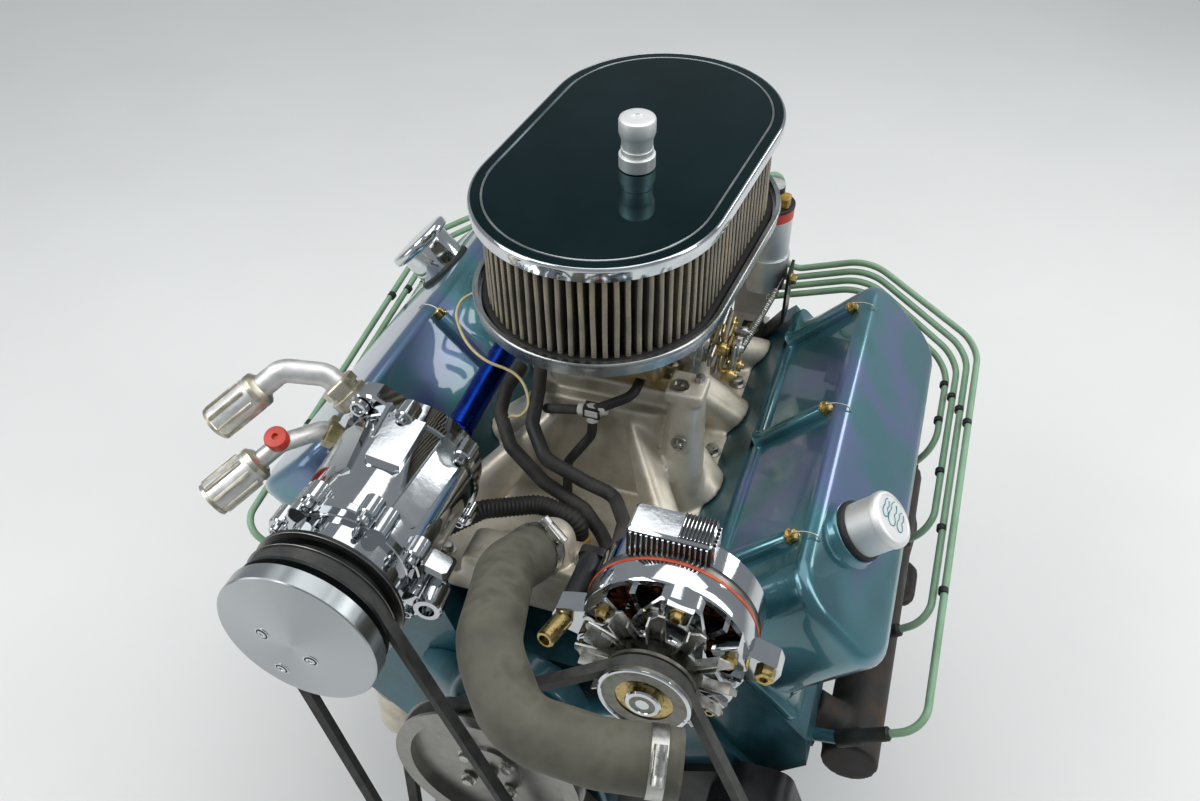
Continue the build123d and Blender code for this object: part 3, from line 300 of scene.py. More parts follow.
def bent_wire(name, runs, radius, finish, body="engine"):
    """Round wires or lines of paint, each along a smooth curve; points and radius in millimetres."""
    line = bpy.data.curves.new(name, "CURVE")
    line.dimensions = "3D"
    line.bevel_depth, line.bevel_resolution = radius / 1000, 6
    line.use_fill_caps = True
    for run in runs:
        spline = line.splines.new("NURBS")
        spline.points.add(len(run) - 1)
        for point, place_at in zip(spline.points, run):
            point.co = (*[c / 1000 for c in place_at], 1)
        spline.order_u, spline.use_endpoint_u, spline.resolution_u = 3, True, 12
    line.materials.append(finish)
    made = bpy.data.objects.new(name, line)
    bpy.context.scene.collection.objects.link(made)
    settle(made, body)


# Brass off the lathe is warm and bright, with small duller spots where fingers have tarnished it.
brass = surface("turned brass", ("#bf9f58", "#dcc182"), (0.16, 0.3), patch=4, metallic=1.0)
rail_top, rail_centre, shell_centre = 304.1, -36.5, -39     # height of the rail, and how far inward each lies
width, length, corner, side_top, top_edge, cover_top = 118, 462, 38, 388, 12, 400
# Each step of a cover's shape, from the rail to the top: its width, length, corner radius and height
cover_profile = [(133, 474, 12, 297), (133, 474, 12, 302.4), (131.6, 472.6, 11.4, 304), (124, 466, 14, 304.2),
                 (121, 464, 30, 305), (118.6, 462.6, 37, 309)]
cover_profile += [(width, length, corner, up) for up in (330, 360, side_top)]
for i in range(1, 8):
    lean_in = radians(90 * i / 7)
    inset = top_edge * (1 - cos(lean_in))
    cover_profile.append((width - 2 * inset, length - 2 * inset, corner - inset,
                          side_top + top_edge * sin(lean_in)))
cover_profile += [(80, 424, 20, 400.2), (50, 394, 12, 400.5), (16, 360, 4, 400.6)]
post_line, post_width, post_length, post_corner = -98.6, 19, 14, 5.5
bolt_line, bolt_height = -102, 381     # inward of the bores' axis, and up the bank
for side, name in ((1, "right"), (-1, "left")):
    middle = -bank_middle[side]
    posts = [middle + i * 1.5 * bore_spacing for i in (-1, 0, 1)]
    shape = bmesh.new()
    rings = []
    for wide, long, radius, up in cover_profile:
        centre = rail_centre if up < rail_top else shell_centre
        rings.append([on_bank(side, centre + x, middle + y, up) / 1000
                      for x, y in rounded(wide, long, radius)])
    skin(shape, rings)
    for along in posts:
        rings = []
        for grow, up in ((4, 303), (1.5, 306), (0, 312), (-0.6, 379), (-2, 380.6), (-3.2, 381)):
            post = rounded(post_width + 2 * grow, post_length + 2 * grow, post_corner + grow)
            rings.append([on_bank(side, post_line + x, along + y, up) / 1000 for x, y in post])
        skin(shape, rings)
    piece("valve_cover_" + name + "_shell", shape, teal, instead=("valve_cover_" + name,),
          angle=50)
    shape = bmesh.new()
    clips = []
    for along in posts:
        turn(shape, [(6.8, 0), (6.8, 1.6), (5.2, 1.7), (5.2, 6.6), (4.6, 7.4), (4.4, 7.0), (1.2, 6.9)],
             on_bank(side, bolt_line, along, bolt_height), on_bank(side, 0, 0, 1), 32)
        clips.append([on_bank(side, outward, along + y, up) for outward, y, up in (
            (-107, -3, 388), (-103, 0, 394), (-97, 1, 399), (-92, 1, 402.5), (-86, 1, 401))])
    piece("cover_bolts_" + name, shape, brass)
    bent_wire("cover_clips_" + name, clips, 0.7, zinc)

# Oil filler: a solid cap turned from aluminium bar, with flames cut in its top and filled with paint.
# It pushes into a rubber grommet, which sits in a round boss near the front of the right cover.
# Black rubber keeps the mould's fine grain and goes grey with dust in patches of a centimetre.
moulded_rubber = surface("moulded black rubber", ("#0c0c0c", "#1a1a19", "#2a2926"), (0.5, 0.75), patch=12,
                         grain=(0.9, 0.06))
# A fine cut and a light blasting leave the aluminium nearly white, with wide soft highlights.
satin = surface("satin turned aluminium", ("#e6e7e7", "#f0f0ef"), (0.54, 0.6), patch=40, metallic=1.0)
hole_line = -56     # the holes for the filler and the breather lie this far inward of the bores' axis
filler = on_bank(1, hole_line, -416, cover_top)
up_right = on_bank(1, 0, 0, 1)
shape = bmesh.new()
turn(shape, [(31, -2), (30, 1.2), (28.6, 3.5), (27.8, 6.6), (26.6, 7.6), (17, 7.8), (17, -8)],
     filler, up_right, 64)
piece("filler_boss", shape, teal, angle=50)
shape = bmesh.new()
turn(shape, [(17, 7.6), (25.8, 7.7), (26.6, 8.8), (26.4, 12.4), (25.2, 13.4), (24.2, 13.5), (23.8, 12)],
     filler, up_right, 64)
piece("filler_grommet", shape, moulded_rubber, body="oil_cap", angle=50)
shape = bmesh.new()
turn(shape, [(14.8, -7), (14.8, 9), (23.6, 9.6), (23.6, 36.6), (24.5, 37.4), (24.6, 41.4), (23.6, 43.6),
             (22, 44.6), (20.4, 44.8), (20, 44.2), (8, 44.2), (0, 44.3)], filler, up_right, 96)
piece("filler_cap", shape, satin, body="oil_cap", instead=("oil_filler_cap",))
# The paint in the cuts is thin teal with metal shining through, so a cut's line is darker in places.
engraved = surface("paint-filled engraving in aluminium", ("#1d5f68", "#4aa0a2"), 0.35, patch=6, metallic=0.4)
round_cap = up_right.cross(ahead)
cut_height = 44.35
flames = []
for middle, size in ((-10, 0.8), (-1, 1.05), (9.5, 0.85)):
    flames.append([filler + up_right * cut_height - ahead * (x * size) + round_cap * (middle + y * size)
                   for x, y in ((16, -1), (12, -4.4), (6, -3), (1, -5), (-6, -5), (-10, -1), (-7, 3.6),
                                (-1, 3.4), (3, 0.6), (8, 3.8), (14, 1.6))])
bent_wire("filler_cap_engraving", flames, 0.45, engraved, body="oil_cap")

# Breather: a can spun from steel sheet and chrome plated, with a lipped cap rolled over its top.
# A rubber grommet holds it near the rear of the left cover.
# Chrome mirrors its surroundings a shade darker and bluer, and is a little softer where it was wiped.
chrome = surface("polished chrome plate", ("#bcc2c6", "#d6d9db"), (0.04, 0.12), patch=30, metallic=1.0)
breather_at = on_bank(-1, hole_line, -155, cover_top)
up_left = on_bank(-1, 0, 0, 1)
shape = bmesh.new()
turn(shape, [(27, 0), (28.6, 1), (29, 3), (29, 32), (28.4, 34.4), (33, 35), (36, 36.4), (37, 38.6),
             (37, 42.4), (36.2, 44.6), (34, 45.7), (30, 46), (12, 46), (0, 46)], breather_at, up_left, 96)
piece("breather_can", shape, chrome, instead=("breather",), angle=50)
shape = bmesh.new()
turn(shape, [(30, -1), (32.4, 0), (32.6, 3), (31, 4.6), (29.2, 4.8)], breather_at, up_left, 64)
piece("breather_grommet", shape, moulded_rubber, angle=50)

# Intake manifold and thermostat housing: aluminium cast in sand, left as cast and machined only where they
# are bolted. Eight runners fall from the plenum to the heads, and bolts with hexagon heads hold them down.


def cast(name, finish, voxel, rounds):
    """A casting: the CAD node's shape with every inner corner filled and every edge rounded. The voxel is in
    millimetres, and more rounds make it softer."""
    solid = nodes[name]
    made = bpy.data.objects.new(name + "_casting", solid.data.copy())
    bpy.context.scene.collection.objects.link(made)
    made.data.materials.clear()
    made.data.materials.append(finish)
    remesh = made.modifiers.new("even skin", "REMESH")
    remesh.mode, remesh.voxel_size, remesh.use_smooth_shade = "VOXEL", voxel / 1000, True
    soften = made.modifiers.new("rounded edges", "SMOOTH")
    soften.factor, soften.iterations = 0.5, rounds
    settle(made, "engine", (name,))


# Sand leaves a pale, dull skin with a grain that shows everywhere, and heat turns it beige in patches. Real
# sand is about 0.3 mm; the grain is drawn at 1.1 mm, the least that shows.
sand_cast = surface("sand-cast aluminium", ("#ada590", "#c6bead", "#d3cdbf", "#b8b09b"), (0.38, 0.54),
                    patch=60, grain=(1.1, 0.16), metallic=0.5)
cast("intake_manifold", sand_cast, 2.5, 8)
cast("thermostat_housing", sand_cast, 1.4, 5)
flange_top, housing_top = 258, 295
shape = bmesh.new()
for x, y in ((97, -60), (98, -172), (98, -284), (98, -388), (98, -500),
             (-97, -52), (-98, -150), (-98, -262), (-98, -374), (-98, -486)):
    hex_bolt(shape, (x, y, flange_top), plumb, 6.5, 6)
for x in (-24, 34):
    hex_bolt(shape, (x, -491, housing_top), plumb, 6, 6)
piece("manifold_bolts", shape, zinc)
shape = bmesh.new()
turn(shape, [(8.6, 398), (8.6, 399.6), (5.4, 399.8), (5.2, 396.5), (0, 396.5)], (78, -362, 0), plumb, 32)
turn(shape, [(4.6, 398), (4.4, 403.5), (2.2, 404)], (93, -349, 0), plumb, 6)
turn(shape, [(7.5, 0), (7.5, 1.5), (4.2, 1.6), (4.2, 6.5), (3.4, 7)], (84, -375.5, 345), ahead, 24)
piece("boss_fasteners", shape, zinc)

# Carburettor: a die casting bolted on the plenum's pad by four studs, with shafts, cams and levers of plated
# steel down its right side that open its throttles and its choke.
pad_lean = radians(3.8)
pad_up = Vector((0, -sin(pad_lean), cos(pad_lean)))
pad_back = Vector((0, pad_up.z, -pad_up.y))
pad = Vector((11.4, -271.8, 374.5))


def on_pad(x, y, z):
    """A point in millimetres over the carburettor's pad, which leans a little forward."""
    return pad + Vector((x, 0, 0)) + pad_back * y + pad_up * z


def chamfered(shape, centre, size, turned=Matrix.Identity(3), edge=1.0):
    """A block with chamfered edges; sizes in millimetres."""
    x, y, z = (s / 2 for s in size)
    rings = []
    for inset, at_z in ((edge, -z), (0, edge - z), (0, z - edge), (edge, z)):
        w, d = x - inset, y - inset
        ring = [(w, -d + edge), (w, d - edge), (w - edge, d), (edge - w, d), (-w, d - edge), (-w, edge - d),
                (edge - w, -d), (w - edge, -d)]
        rings.append([(Vector(centre) + turned @ Vector((px, py, at_z))) / 1000 for px, py in ring])
    skin(shape, rings)


# The gold dip takes unevenly on a casting, so gold runs into bare grey within a centimetre or two.
passivated = surface("gold passivated die casting", ("#8f8a78", "#b39a58", "#a9a696", "#c0a45c"), (0.28, 0.5),
                     patch=14, grain=(0.9, 0.08), metallic=0.9)
# Yellow zinc is a thinner, clearer gold that shines on small parts and turns brown in spots.
gold = surface("yellow zinc plate", ("#94804a", "#c4ad74", "#a8986c"), (0.2, 0.42), patch=6, metallic=1.0)
cast("carburettor", passivated, 1.6, 3)
golden, silver = bmesh.new(), bmesh.new()
# Cams and collars on the shafts' ends
for shape, x, y, z, radius, thick in (
        (silver, 62, -30, 32, 17, 14), (golden, 74, 6, 24, 15, 4), (golden, 90.4, 0, 7, 13, 3),
        (silver, 94, 0, 7, 9, 8), (golden, 84, 28, 12, 8, 6), (golden, 90.4, -26, -4, 6, 12),
        (silver, 90.4, 24, 8, 5, 12), (golden, 70, 36, 40, 7, 10), (golden, 101, -8, -6, 6, 4),
        (golden, 79, -26, 26, 6, 14), (silver, 58, 4, 52, 8, 16)):
    turn(shape, [(radius * 0.9, 0), (radius, 1), (radius, thick - 1), (radius * 0.9, thick),
                 (radius * 0.5, thick + 0.2), (radius * 0.45, thick + 2.6), (0, thick + 2.8)],
         on_pad(x, y, z), (1, 0, 0), 32)
# Levers, each tipped by some degrees about its shaft
for shape, x, y, z, size, tipped in (
        (golden, 72, -8, 20, (4, 30, 36), 12), (silver, 80, -18, 14, (3, 40, 12), -8),
        (golden, 92, 10, -2, (3, 44, 9), 20), (silver, 98, -14, 2, (3, 10, 34), -14),
        (golden, 88, -16, 30, (3, 9, 38), 24), (silver, 66, 30, 40, (12, 18, 22), 0),
        (golden, 68, -34, 52, (16, 22, 9), 0), (golden, 80, 20, 30, (3, 34, 8), -24),
        (silver, 64, -52, 34, (14, 8, 20), 0)):
    chamfered(shape, on_pad(x, y, z), size, Matrix.Rotation(radians(tipped), 3, "X"), 0.9)
# Rods between the levers, then the dashpot, the fuel inlet's nut and the float bowls' screws
turn(silver, [(3, -40), (3, 44)], on_pad(82, -4, 30), (0, 1, 0.1), 16)
turn(silver, [(2.2, -30), (2.2, 30)], on_pad(88, -16, 26), (0.1, 0.5, 1), 16)
turn(golden, [(6.5, 0), (7, 2), (6.5, 16), (5, 18)], on_pad(72, -34, 54), (0.2, -0.4, 1), 32)
turn(golden, [(9, 0), (9, 10), (5, 11), (5, 16)], on_pad(60, 44, 30), (1, 0.2, 0), 6)
for x, y in ((-40, -88), (40, -88), (-40, 88), (40, 88)):
    turn(golden, [(4.6, 0), (4.6, 4), (3.4, 5)], on_pad(x, y * 0.95, 46), (0, -1 if y < 0 else 1, 0), 6)
piece("throttle_linkage", golden, gold)
for x, y in ((-56, -60), (56, -60), (-56, 60), (56, 60)):
    hex_bolt(silver, on_pad(x, y, 14), pad_up, 6, 5)
turn(silver, [(3, 0), (3, 46)], on_pad(58, -46, 22), (0.3, 0.9, 0.5), 16)
turn(silver, [(7, 0), (7, 3), (3, 3.4), (3, 8)], on_pad(78, 24, 30), (1, 0, 0), 24)
piece("carburettor_studs", silver, zinc)

# Air cleaner's lid and knob: an oval lid pressed from steel sheet and polished, with a dark coat on its top
# and a bright rolled rim. One turned knob on the carburettor's stud pulls it down on the filter element.
turned_on_pad = radians(-6.1)
cleaner_x = Vector((1, 0, 0)) * cos(turned_on_pad) + pad_back * sin(turned_on_pad)
cleaner_y = pad_back * cos(turned_on_pad) - Vector((1, 0, 0)) * sin(turned_on_pad)
tray_height, lid_height = 78, 106     # of the tray over the pad, and of the lid's top over the tray
tray = on_pad(0, 0, tray_height) - cleaner_x * 14.4 + cleaner_y * 27.7
straight = 71.7     # half the length of the oval's straight sides


def on_tray(x, y, up):
    """A point in millimetres over the tray's middle, square to the tray."""
    return tray + cleaner_x * x + cleaner_y * y + pad_up * up


def ovals(section):
    """One oval ring for each point of a section, which gives the radius of its round ends and its height."""
    steps, rings = 40, []
    for radius, up in section:
        ring = []
        for end in (1, -1):
            for i in range(steps + 1):
                a = pi * i / steps + (0 if end > 0 else pi)
                ring.append(on_tray(radius * cos(a), end * straight + radius * sin(a), up) / 1000)
        rings.append(ring)
    return rings


# The lid mirrors like black glass with a teal cast, because its thin dark coat takes most of the light.
smoked = surface("dark polished metal", ("#1f373b", "#264044", "#2b484c"), (0.035, 0.06), patch=200,
                 metallic=1.0)
shape = bmesh.new()
skin(shape, ovals([(1, lid_height), (50, lid_height), (94.8, 105.95), (95.2, 105.4), (97.6, 105.4),
                   (98, 105.95), (105.5, 105.7), (105.5, 102), (50, 102), (1, 102)]))
piece("lid_pressing", shape, smoked, body="air_lid", instead=("air_cleaner_lid",), angle=24)
rim = [(105.6, 102), (105.6, 105.7), (106.1, 105.9), (106.6, 105.8), (107.2, 105.3), (107.9, 104), (108, 102),
       (107.6, 96), (107.4, 93.4), (106.6, 93), (105.6, 93.3), (105.2, 96), (104.6, 101)]
shape = bmesh.new()
skin(shape, ovals(rim + rim[:1]), False, False)
piece("lid_rim", shape, chrome, body="air_lid")
shape = bmesh.new()
turn(shape, [(14.6, 0), (15.5, 1), (15.5, 12.2), (15, 12.8), (13.6, 13), (13.6, 18.2), (12.8, 18.6),
             (12.8, 19.2), (13.2, 19.6), (13.2, 26), (15.2, 32), (15.5, 33), (15.5, 43.4), (15, 45),
             (13.6, 45.9), (12, 46), (5, 46), (4.6, 45), (0, 45)],
     on_pad(0, 0, tray_height + lid_height), pad_up, 96)
piece("knob_turning", shape, satin, body="air_lid", instead=("lid_knob",))

# Tray and the lid's groove: the tray is spun from aluminium sheet, with a bead rolled in its edge, and sits
# on the carburettor's throat. The groove is a fine ring of the same bare metal, turned in the lid's coat.
# Spun sheet is a mid grey metal whose shine comes and goes over a few centimetres.
spun = surface("spun aluminium", ("#8d9192", "#b0b3b3"), (0.2, 0.34), patch=50, metallic=1.0)
dress("air_cleaner_base", spun, 0.6)
shape = bmesh.new()
bead = [(110.5 + 1.9 * cos(a), 12.2 + 1.9 * sin(a)) for a in (radians(-100 + 25 * i) for i in range(13))]
skin(shape, ovals([(107.6, 4), (108, 3.2), (110.4, 1.2), (110.6, 8)] + bead + [(108.3, 10), (107.6, 5)]))
piece("tray_rim", shape, spun)
shape = bmesh.new()
groove = [(95.3, 105.2), (95.4, 105.9), (96, 105.7), (96.8, 105.7), (97.4, 105.9), (97.5, 105.2)]
skin(shape, ovals(groove + groove[:1]), False, False)
piece("lid_groove", shape, spun, body="air_lid", angle=20)

# Filter element: a ring of cotton gauze between two wire meshes, oiled and folded into pleats. Its top and
# bottom edges are moulded into rubber seals, which the lid and the tray clamp.
# Oiled cotton is a dull grey-brown that yellows in places; deep in the folds its colour is darkened, a
# painted shade. The mesh over it has wires about 1.5 mm apart, drawn at 2.6 mm, the least that shows.
gauze = surface("oiled cotton gauze under wire mesh", ("#7b7467", "#938c7e", "#a79c82"), (0.65, 0.85),
                patch=50)
tree = gauze.node_tree
shader, place = tree.nodes["Principled BSDF"], tree.nodes["Texture Coordinate"]
# An ambient occlusion node darkens the gauze's colour deep in its folds: painted shade.
painted_fold_shade = add(tree, "ShaderNodeAmbientOcclusion", {"samples": 8, "only_local": True, "Distance": 0.012},
           {"Color": shader.inputs["Base Color"].links[0].from_socket})
tree.links.new(painted_fold_shade.outputs["Color"], shader.inputs["Base Color"])
wave_length, wires_apart = 2 * pi / 20, 0.0026     # the first is of Blender's wave texture at a scale of 1
wires = add(tree, "ShaderNodeTexWave", {"wave_type": "BANDS", "bands_direction": "Z",
                                        "Scale": wave_length / wires_apart, "Distortion": 0.3},
            {"Vector": place.outputs["Object"]})
raised = add(tree, "ShaderNodeBump", {"Strength": 0.6, "Distance": 0.0004}, {"Height": wires.outputs["Fac"]})
tree.links.new(raised.outputs[0], shader.inputs["Normal"])
pleats, fold_radius, core_radius, fold_low, fold_high = 96, 99, 80, 5, 101.5
# One fold's outline: its share of the pitch, and the depth there. A round crest is first, a deep gap last.
one_fold = ((0, 0.9), (0.1, 0.1), (0.22, 0), (0.34, 0.1), (0.44, 0.9), (0.5, 14), (0.72, 16), (0.94, 14))
half_turn = pi * fold_radius
all_round = 2 * half_turn + 4 * straight
outline = []
for i in range(pleats):
    for share, depth in one_fold:
        s = (i + share) / pleats * all_round
        if s < half_turn:
            a, end = s / fold_radius, 1
        elif s < half_turn + 2 * straight:
            a, end = pi, 1 - (s - half_turn) / straight
        elif s < 2 * half_turn + 2 * straight:
            a, end = pi + (s - half_turn - 2 * straight) / fold_radius, -1
        else:
            a, end = 0, (s - 2 * half_turn - 2 * straight) / straight - 1
        outline.append((a, end, fold_radius - depth, i))
levels, wander = 8, 0.4     # halfway up, a fold leans off its line by as much as the second of these


def fold_ring(level, radius=None):
    """The folds' outline at one of the levels, or drawn in to one radius."""
    up = fold_low + (fold_high - fold_low) * level / levels
    ring = []
    for a, end, reach, i in outline:
        r = radius or reach
        shift = wander * sin(i * 1.7 + level * 0.5) * sin(pi * level / levels)
        x, y = r * cos(a) - shift * sin(a), end * straight + r * sin(a) + shift * cos(a)
        ring.append(on_tray(x, y, up) / 1000)
    return ring


shape = bmesh.new()
skin(shape, [fold_ring(0, core_radius)] + [fold_ring(level) for level in range(levels + 1)]
     + [fold_ring(levels, core_radius)], False, False)
piece("pleated_gauze", shape, gauze, instead=("air_filter",), angle=40)
shape = bmesh.new()
for seal in ([(79, 3), (104.6, 3), (105.2, 4), (105, 8), (104, 9.4), (100, 9.8), (79, 9.8)],
             [(79, 101.8), (104.4, 101.8), (104.6, 98), (103.6, 97), (79, 97)]):
    skin(shape, ovals(seal), False, False)
piece("element_seals", shape, moulded_rubber, angle=50)

# Water pump and front bolts: the pump is cast iron under the same paint, bolted to the timing cover.
# Plated bolts hold the pump's legs, its front plate and the cover's edge.
shape = bmesh.new()
for x, z in ((-98, 156), (98, 156), (-84, 144), (84, 144)):
    hex_bolt(shape, (x, -549, z), ahead, 6.5)
pump_z, plate_circle = 178, 52
for i in range(6):
    a = radians(30 + 60 * i)
    hex_bolt(shape, (plate_circle * cos(a), -570, pump_z + plate_circle * sin(a)), ahead, 5, 5)
for x, z in ((-70, -38), (70, -38), (-64, 30), (64, 30), (-52, 100), (52, 100)):
    hex_bolt(shape, (x, -552, z), ahead, 4.5, 4)
piece("front_bolts", shape, zinc)
cast("water_pump", painted_iron, 2.2, 4)

# Crankshaft, balancer and pulleys: turned from steel and left bare, kept bright where a belt runs.
# Four bolts hold each big pulley to its hub, and one large bolt the balancer to the crankshaft.
# Bare steel is a warm mid grey, even in colour, with a soft shine.
steel = surface("machined steel", ("#8a8883", "#908f8b", "#969591"), (0.33, 0.39), patch=10, metallic=1.0,
                detail=2)
for name in ("crankshaft", "harmonic_balancer", "crank_pulley", "power_steering_pulley", "water_pump_pulley"):
    dress(name, steel, 0.5)
crank_nose = 668
for name, body, z, circle, ahead_of_rear in (("crank_pulley_bolts", "crank", 0, 30, 642),
                                             ("pump_pulley_bolts", "pump_rotor", pump_z, 26, 637)):
    shape = bmesh.new()
    for i in range(4):
        a = radians(45 + 90 * i)
        hex_bolt(shape, (circle * cos(a), -ahead_of_rear, z + circle * sin(a)), ahead, 5, 4)
    if body == "crank":
        hex_bolt(shape, (0, -crank_nose, 0), ahead, 14, 8)
    piece(name, shape, zinc, body=body)

# Belts: moulded rubber on cords, wrapped in woven cotton and dull all over. One drives the alternator and
# the steering pump, the other the compressor.
# The cloth jacket looks matt and brownish black. Its threads are 0.4 mm apart, drawn at 0.7 mm to show.
jacket = surface("woven belt jacket", ("#262726", "#3a3b39", "#4a4a46"), (0.75, 0.95), patch=20,
                 grain=(0.7, 0.08))
for name in ("alternator_belt", "compressor_belt"):
    dress(name, jacket, 0.4)

# Alternator: two polished die castings clamped round the stator by three long bolts. The front one is open:
# a spider of three arms carries the bearing, and between them the windings show behind the pressed steel fan.
ax, az = 130, 346     # the alternator's axis


def around(angle, reach, ahead_of_rear):
    """A point in millimetres about the alternator's axis: degrees from the right, radius, distance ahead."""
    return Vector((ax + reach * cos(radians(angle)), -ahead_of_rear, az + reach * sin(radians(angle))))


def slab(shape, outline, rear, front, edge=1.0, about=around):
    """A plate across Y with a chamfered front: its outline as (degrees, radius) about an axis."""
    points = [about(angle, reach, 0) for angle, reach in outline]
    centre = sum(points, Vector()) / len(points)
    rings = []
    for ahead_of_rear, inset in ((rear, 0), (front - edge, 0), (front, edge)):
        rings.append([(p + (centre - p).normalized() * inset + ahead * ahead_of_rear) / 1000 for p in points])
    skin(shape, rings)


# Buffed castings mirror nearly like chrome, but waves of a centimetre or so bend what they mirror.
polished = surface("polished die casting under chrome", ("#bcc0c3", "#c8cbcd"), (0.05, 0.1), patch=50,
                   grain=(14, 0.06), metallic=1.0)
dress("alternator_rear_frame", polished, 1.6)
dress("alternator_stator", steel, 0.4)
# Years of belt dust leave the pulley's plating a dark grey with thin brighter scuffs.
worn_plate = surface("worn zinc plated steel", ("#64635d", "#7d7c75", "#6f6e66"), (0.32, 0.46), patch=12,
                     grain=(1.2, 0.02), metallic=1.0)
dress("alternator_pulley", worn_plate, 0.5)
shape = bmesh.new()
turn(shape, [(66, 0), (66, 16), (64.6, 18.4), (60.4, 18.4), (59.4, 17), (58, 5), (20, 5)],
     around(0, 0, 570), ahead, 96)
turn(shape, [(27, 4), (27, 33), (25.6, 36), (23, 36.4), (22, 40), (14, 40), (13, 38), (9.2, 38)],
     around(0, 0, 570), ahead, 64)
arms = (78, 198, 318)
spider = []
for arm in arms:
    spider += [(arm - 14, 63.4), (arm - 8, 65.4), (arm, 65.8), (arm + 8, 65.4), (arm + 14, 63.4),
               (arm + 34, 45), (arm + 60, 35), (arm + 86, 45)]
slab(shape, spider, 584, 601, 2)
for arm in arms:
    slab(shape, [(arm - 9, 64), (arm + 9, 64), (arm + 12, 48), (arm - 12, 48)], 600, 605, 1.4)
    for web in (-34, 34):
        slab(shape, [(arm + web - 2.2, 62), (arm + web + 2.2, 62), (arm + web * 1.1 + 3, 30),
                     (arm + web * 1.1 - 3, 30)], 576, 598, 0.8)
for middle, wide, deep in ((141, 12, 20), (20, 11, 22)):
    slab(shape, [(middle - wide, 65), (middle + wide, 65), (middle + wide, 65 - deep),
                 (middle - wide, 65 - deep)], 576, 603, 1.4)
for lug in (0, 180):
    slab(shape, [(lug - 18, 56), (lug - 8.5, 77), (lug - 6, 84), (lug, 87), (lug + 6, 84), (lug + 8.5, 77),
                 (lug + 18, 56)], 574, 592, 1.2)
# A box on top, with cooling fins down its front and side and across its top
for i in range(15):
    chamfered(shape, (ax - 36 + i * 4, -561.6, 413), (1.7, 3, 24), edge=0.5)
for i in range(6):
    chamfered(shape, (ax + 24, -538 - i * 4, 413), (3, 1.7, 24), edge=0.5)
chamfered(shape, (ax - 8, -547.6, 425.5), (62, 28, 5), edge=2)
for i in range(9):
    chamfered(shape, (ax - 1 + i * 2.8, -547.6, 428.4), (1.2, 25, 2.4), edge=0.4)
piece("alternator_front_casting", shape, polished, instead=("alternator_front_frame",))
# Satin enamel is a soft black: grey where light glances off it, and a bit greyer still where it is dusty.
satin_black = surface("satin black enamel", ("#0e0f10", "#17181a", "#232322"), (0.32, 0.55), patch=40,
                      grain=(1.2, 0.03), metallic=0.2)
# Satin black blocks behind the fins, so that the grooves between them look dark: painted shade.
shape = bmesh.new()
chamfered(shape, (ax - 8, -547.5, 411), (62.6, 27, 26), edge=0.6)
chamfered(shape, (ax + 10.2, -547.6, 427.8), (24, 24.6, 1.2), edge=0.3)
piece("painted_shade_between_fins", shape, satin_black)
# The varnish is a hard orange skin, darker where it ran thick.
varnish = surface("orange insulating varnish", ("#a83c1e", "#cf5a30"), (0.32, 0.5), patch=10)
shape = bmesh.new()
turn(shape, [(64, 0), (66.3, 0.2), (66.7, 1.5), (66.3, 2.8), (64, 3)], around(0, 0, 566.8), ahead, 96)
piece("winding_varnish", shape, varnish)
# Under its clear enamel the copper is a deep red-brown that still shines as metal.
copper = surface("varnished copper winding", ("#5e2f19", "#94502c"), (0.28, 0.45), patch=6, metallic=0.9)
shape = bmesh.new()
for i in range(36):
    start, slant = around(10 * i, 38, 577.4), around(10 * i + 12, 57, 577.4)
    turn(shape, [(2.6, 0), (3.2, 1.5), (3.2, 16), (2.6, 17.5)], start, slant - start, 10)
piece("alternator_windings", shape, copper)
shape = bmesh.new()
turn(shape, [(9, 0), (36, 0), (36, 1.8), (9, 1.8)], around(0, 0, 613), ahead, 72)
for i in range(12):
    blade = 30 * i
    slab(shape, [(blade - 12, 34), (blade + 9, 34), (blade + 6, 55), (blade, 60.5), (blade - 5, 60.5)],
         613, 614.8, 0.3)
    slab(shape, [(blade + 7, 30), (blade + 9.6, 30.2), (blade + 6.6, 56), (blade + 5.2, 55.8)], 613, 622, 0.4)
    slab(shape, [(blade - 8, 33), (blade - 5.6, 33.2), (blade - 4.2, 49), (blade - 5.8, 48.8)], 613, 618, 0.4)
piece("pressed_fan", shape, zinc, body="alternator_rotor", instead=("alternator_fan",),
      angle=30)
shape = bmesh.new()
for angle, reach, out in ((78, 57, 605), (198, 57, 605), (318, 57, 605), (141, 55, 603), (20, 54, 603)):
    turn(shape, [(6.2, 0), (6.2, 1), (4.6, 1.2), (4.6, 5.6), (3.8, 6.4), (2.6, 6.4), (2.4, 3), (0, 3)],
         around(angle, reach, out), ahead, 6)
turn(shape, [(7.6, 0), (7.6, 5), (6.6, 6), (3.4, 6.2), (3.2, 3), (0, 3)], around(0, 76, 592), ahead, 6)
turn(shape, [(7.4, 0), (7.4, 24), (6.4, 25.4), (4.6, 25.6), (4.2, 20), (0, 20)], around(180, 77, 592),
     (-0.25, -1, 0.1), 24)
piece("alternator_bolts", shape, gold)
shape = bmesh.new()
turn(shape, [(24, -3), (24, 1.4), (22.4, 2.4), (20, 1.6), (17, -0.2), (13.6, -0.4), (13.6, -3)],
     around(0, 0, 638), ahead, 64, band=True)
piece("pulley_washer", shape, gold, body="alternator_rotor")
shape = bmesh.new()
turn(shape, [(31, -2), (34.2, 0.2), (34.3, 2.2), (33.4, 3), (31.8, 3), (31, 2)],
     around(0, 0, 640), ahead, 96, band=True)
turn(shape, [(13.2, 0), (13.4, 1), (13.4, 7.2), (12.4, 8.4), (9.6, 8.6), (9, 7), (5.4, 6.4), (5, 8.2),
             (0, 8.3)], around(0, 0, 637), ahead, 48)
piece("pulley_rim", shape, chrome, body="alternator_rotor")

# Air conditioning compressor: a polished casting in three parts, its flanges held by small bolts. The
# clutch's pulley is black with thin bright edges, and a turned and brushed cover hides the clutch plate.
cx, cz = -119, 359     # the compressor's axis


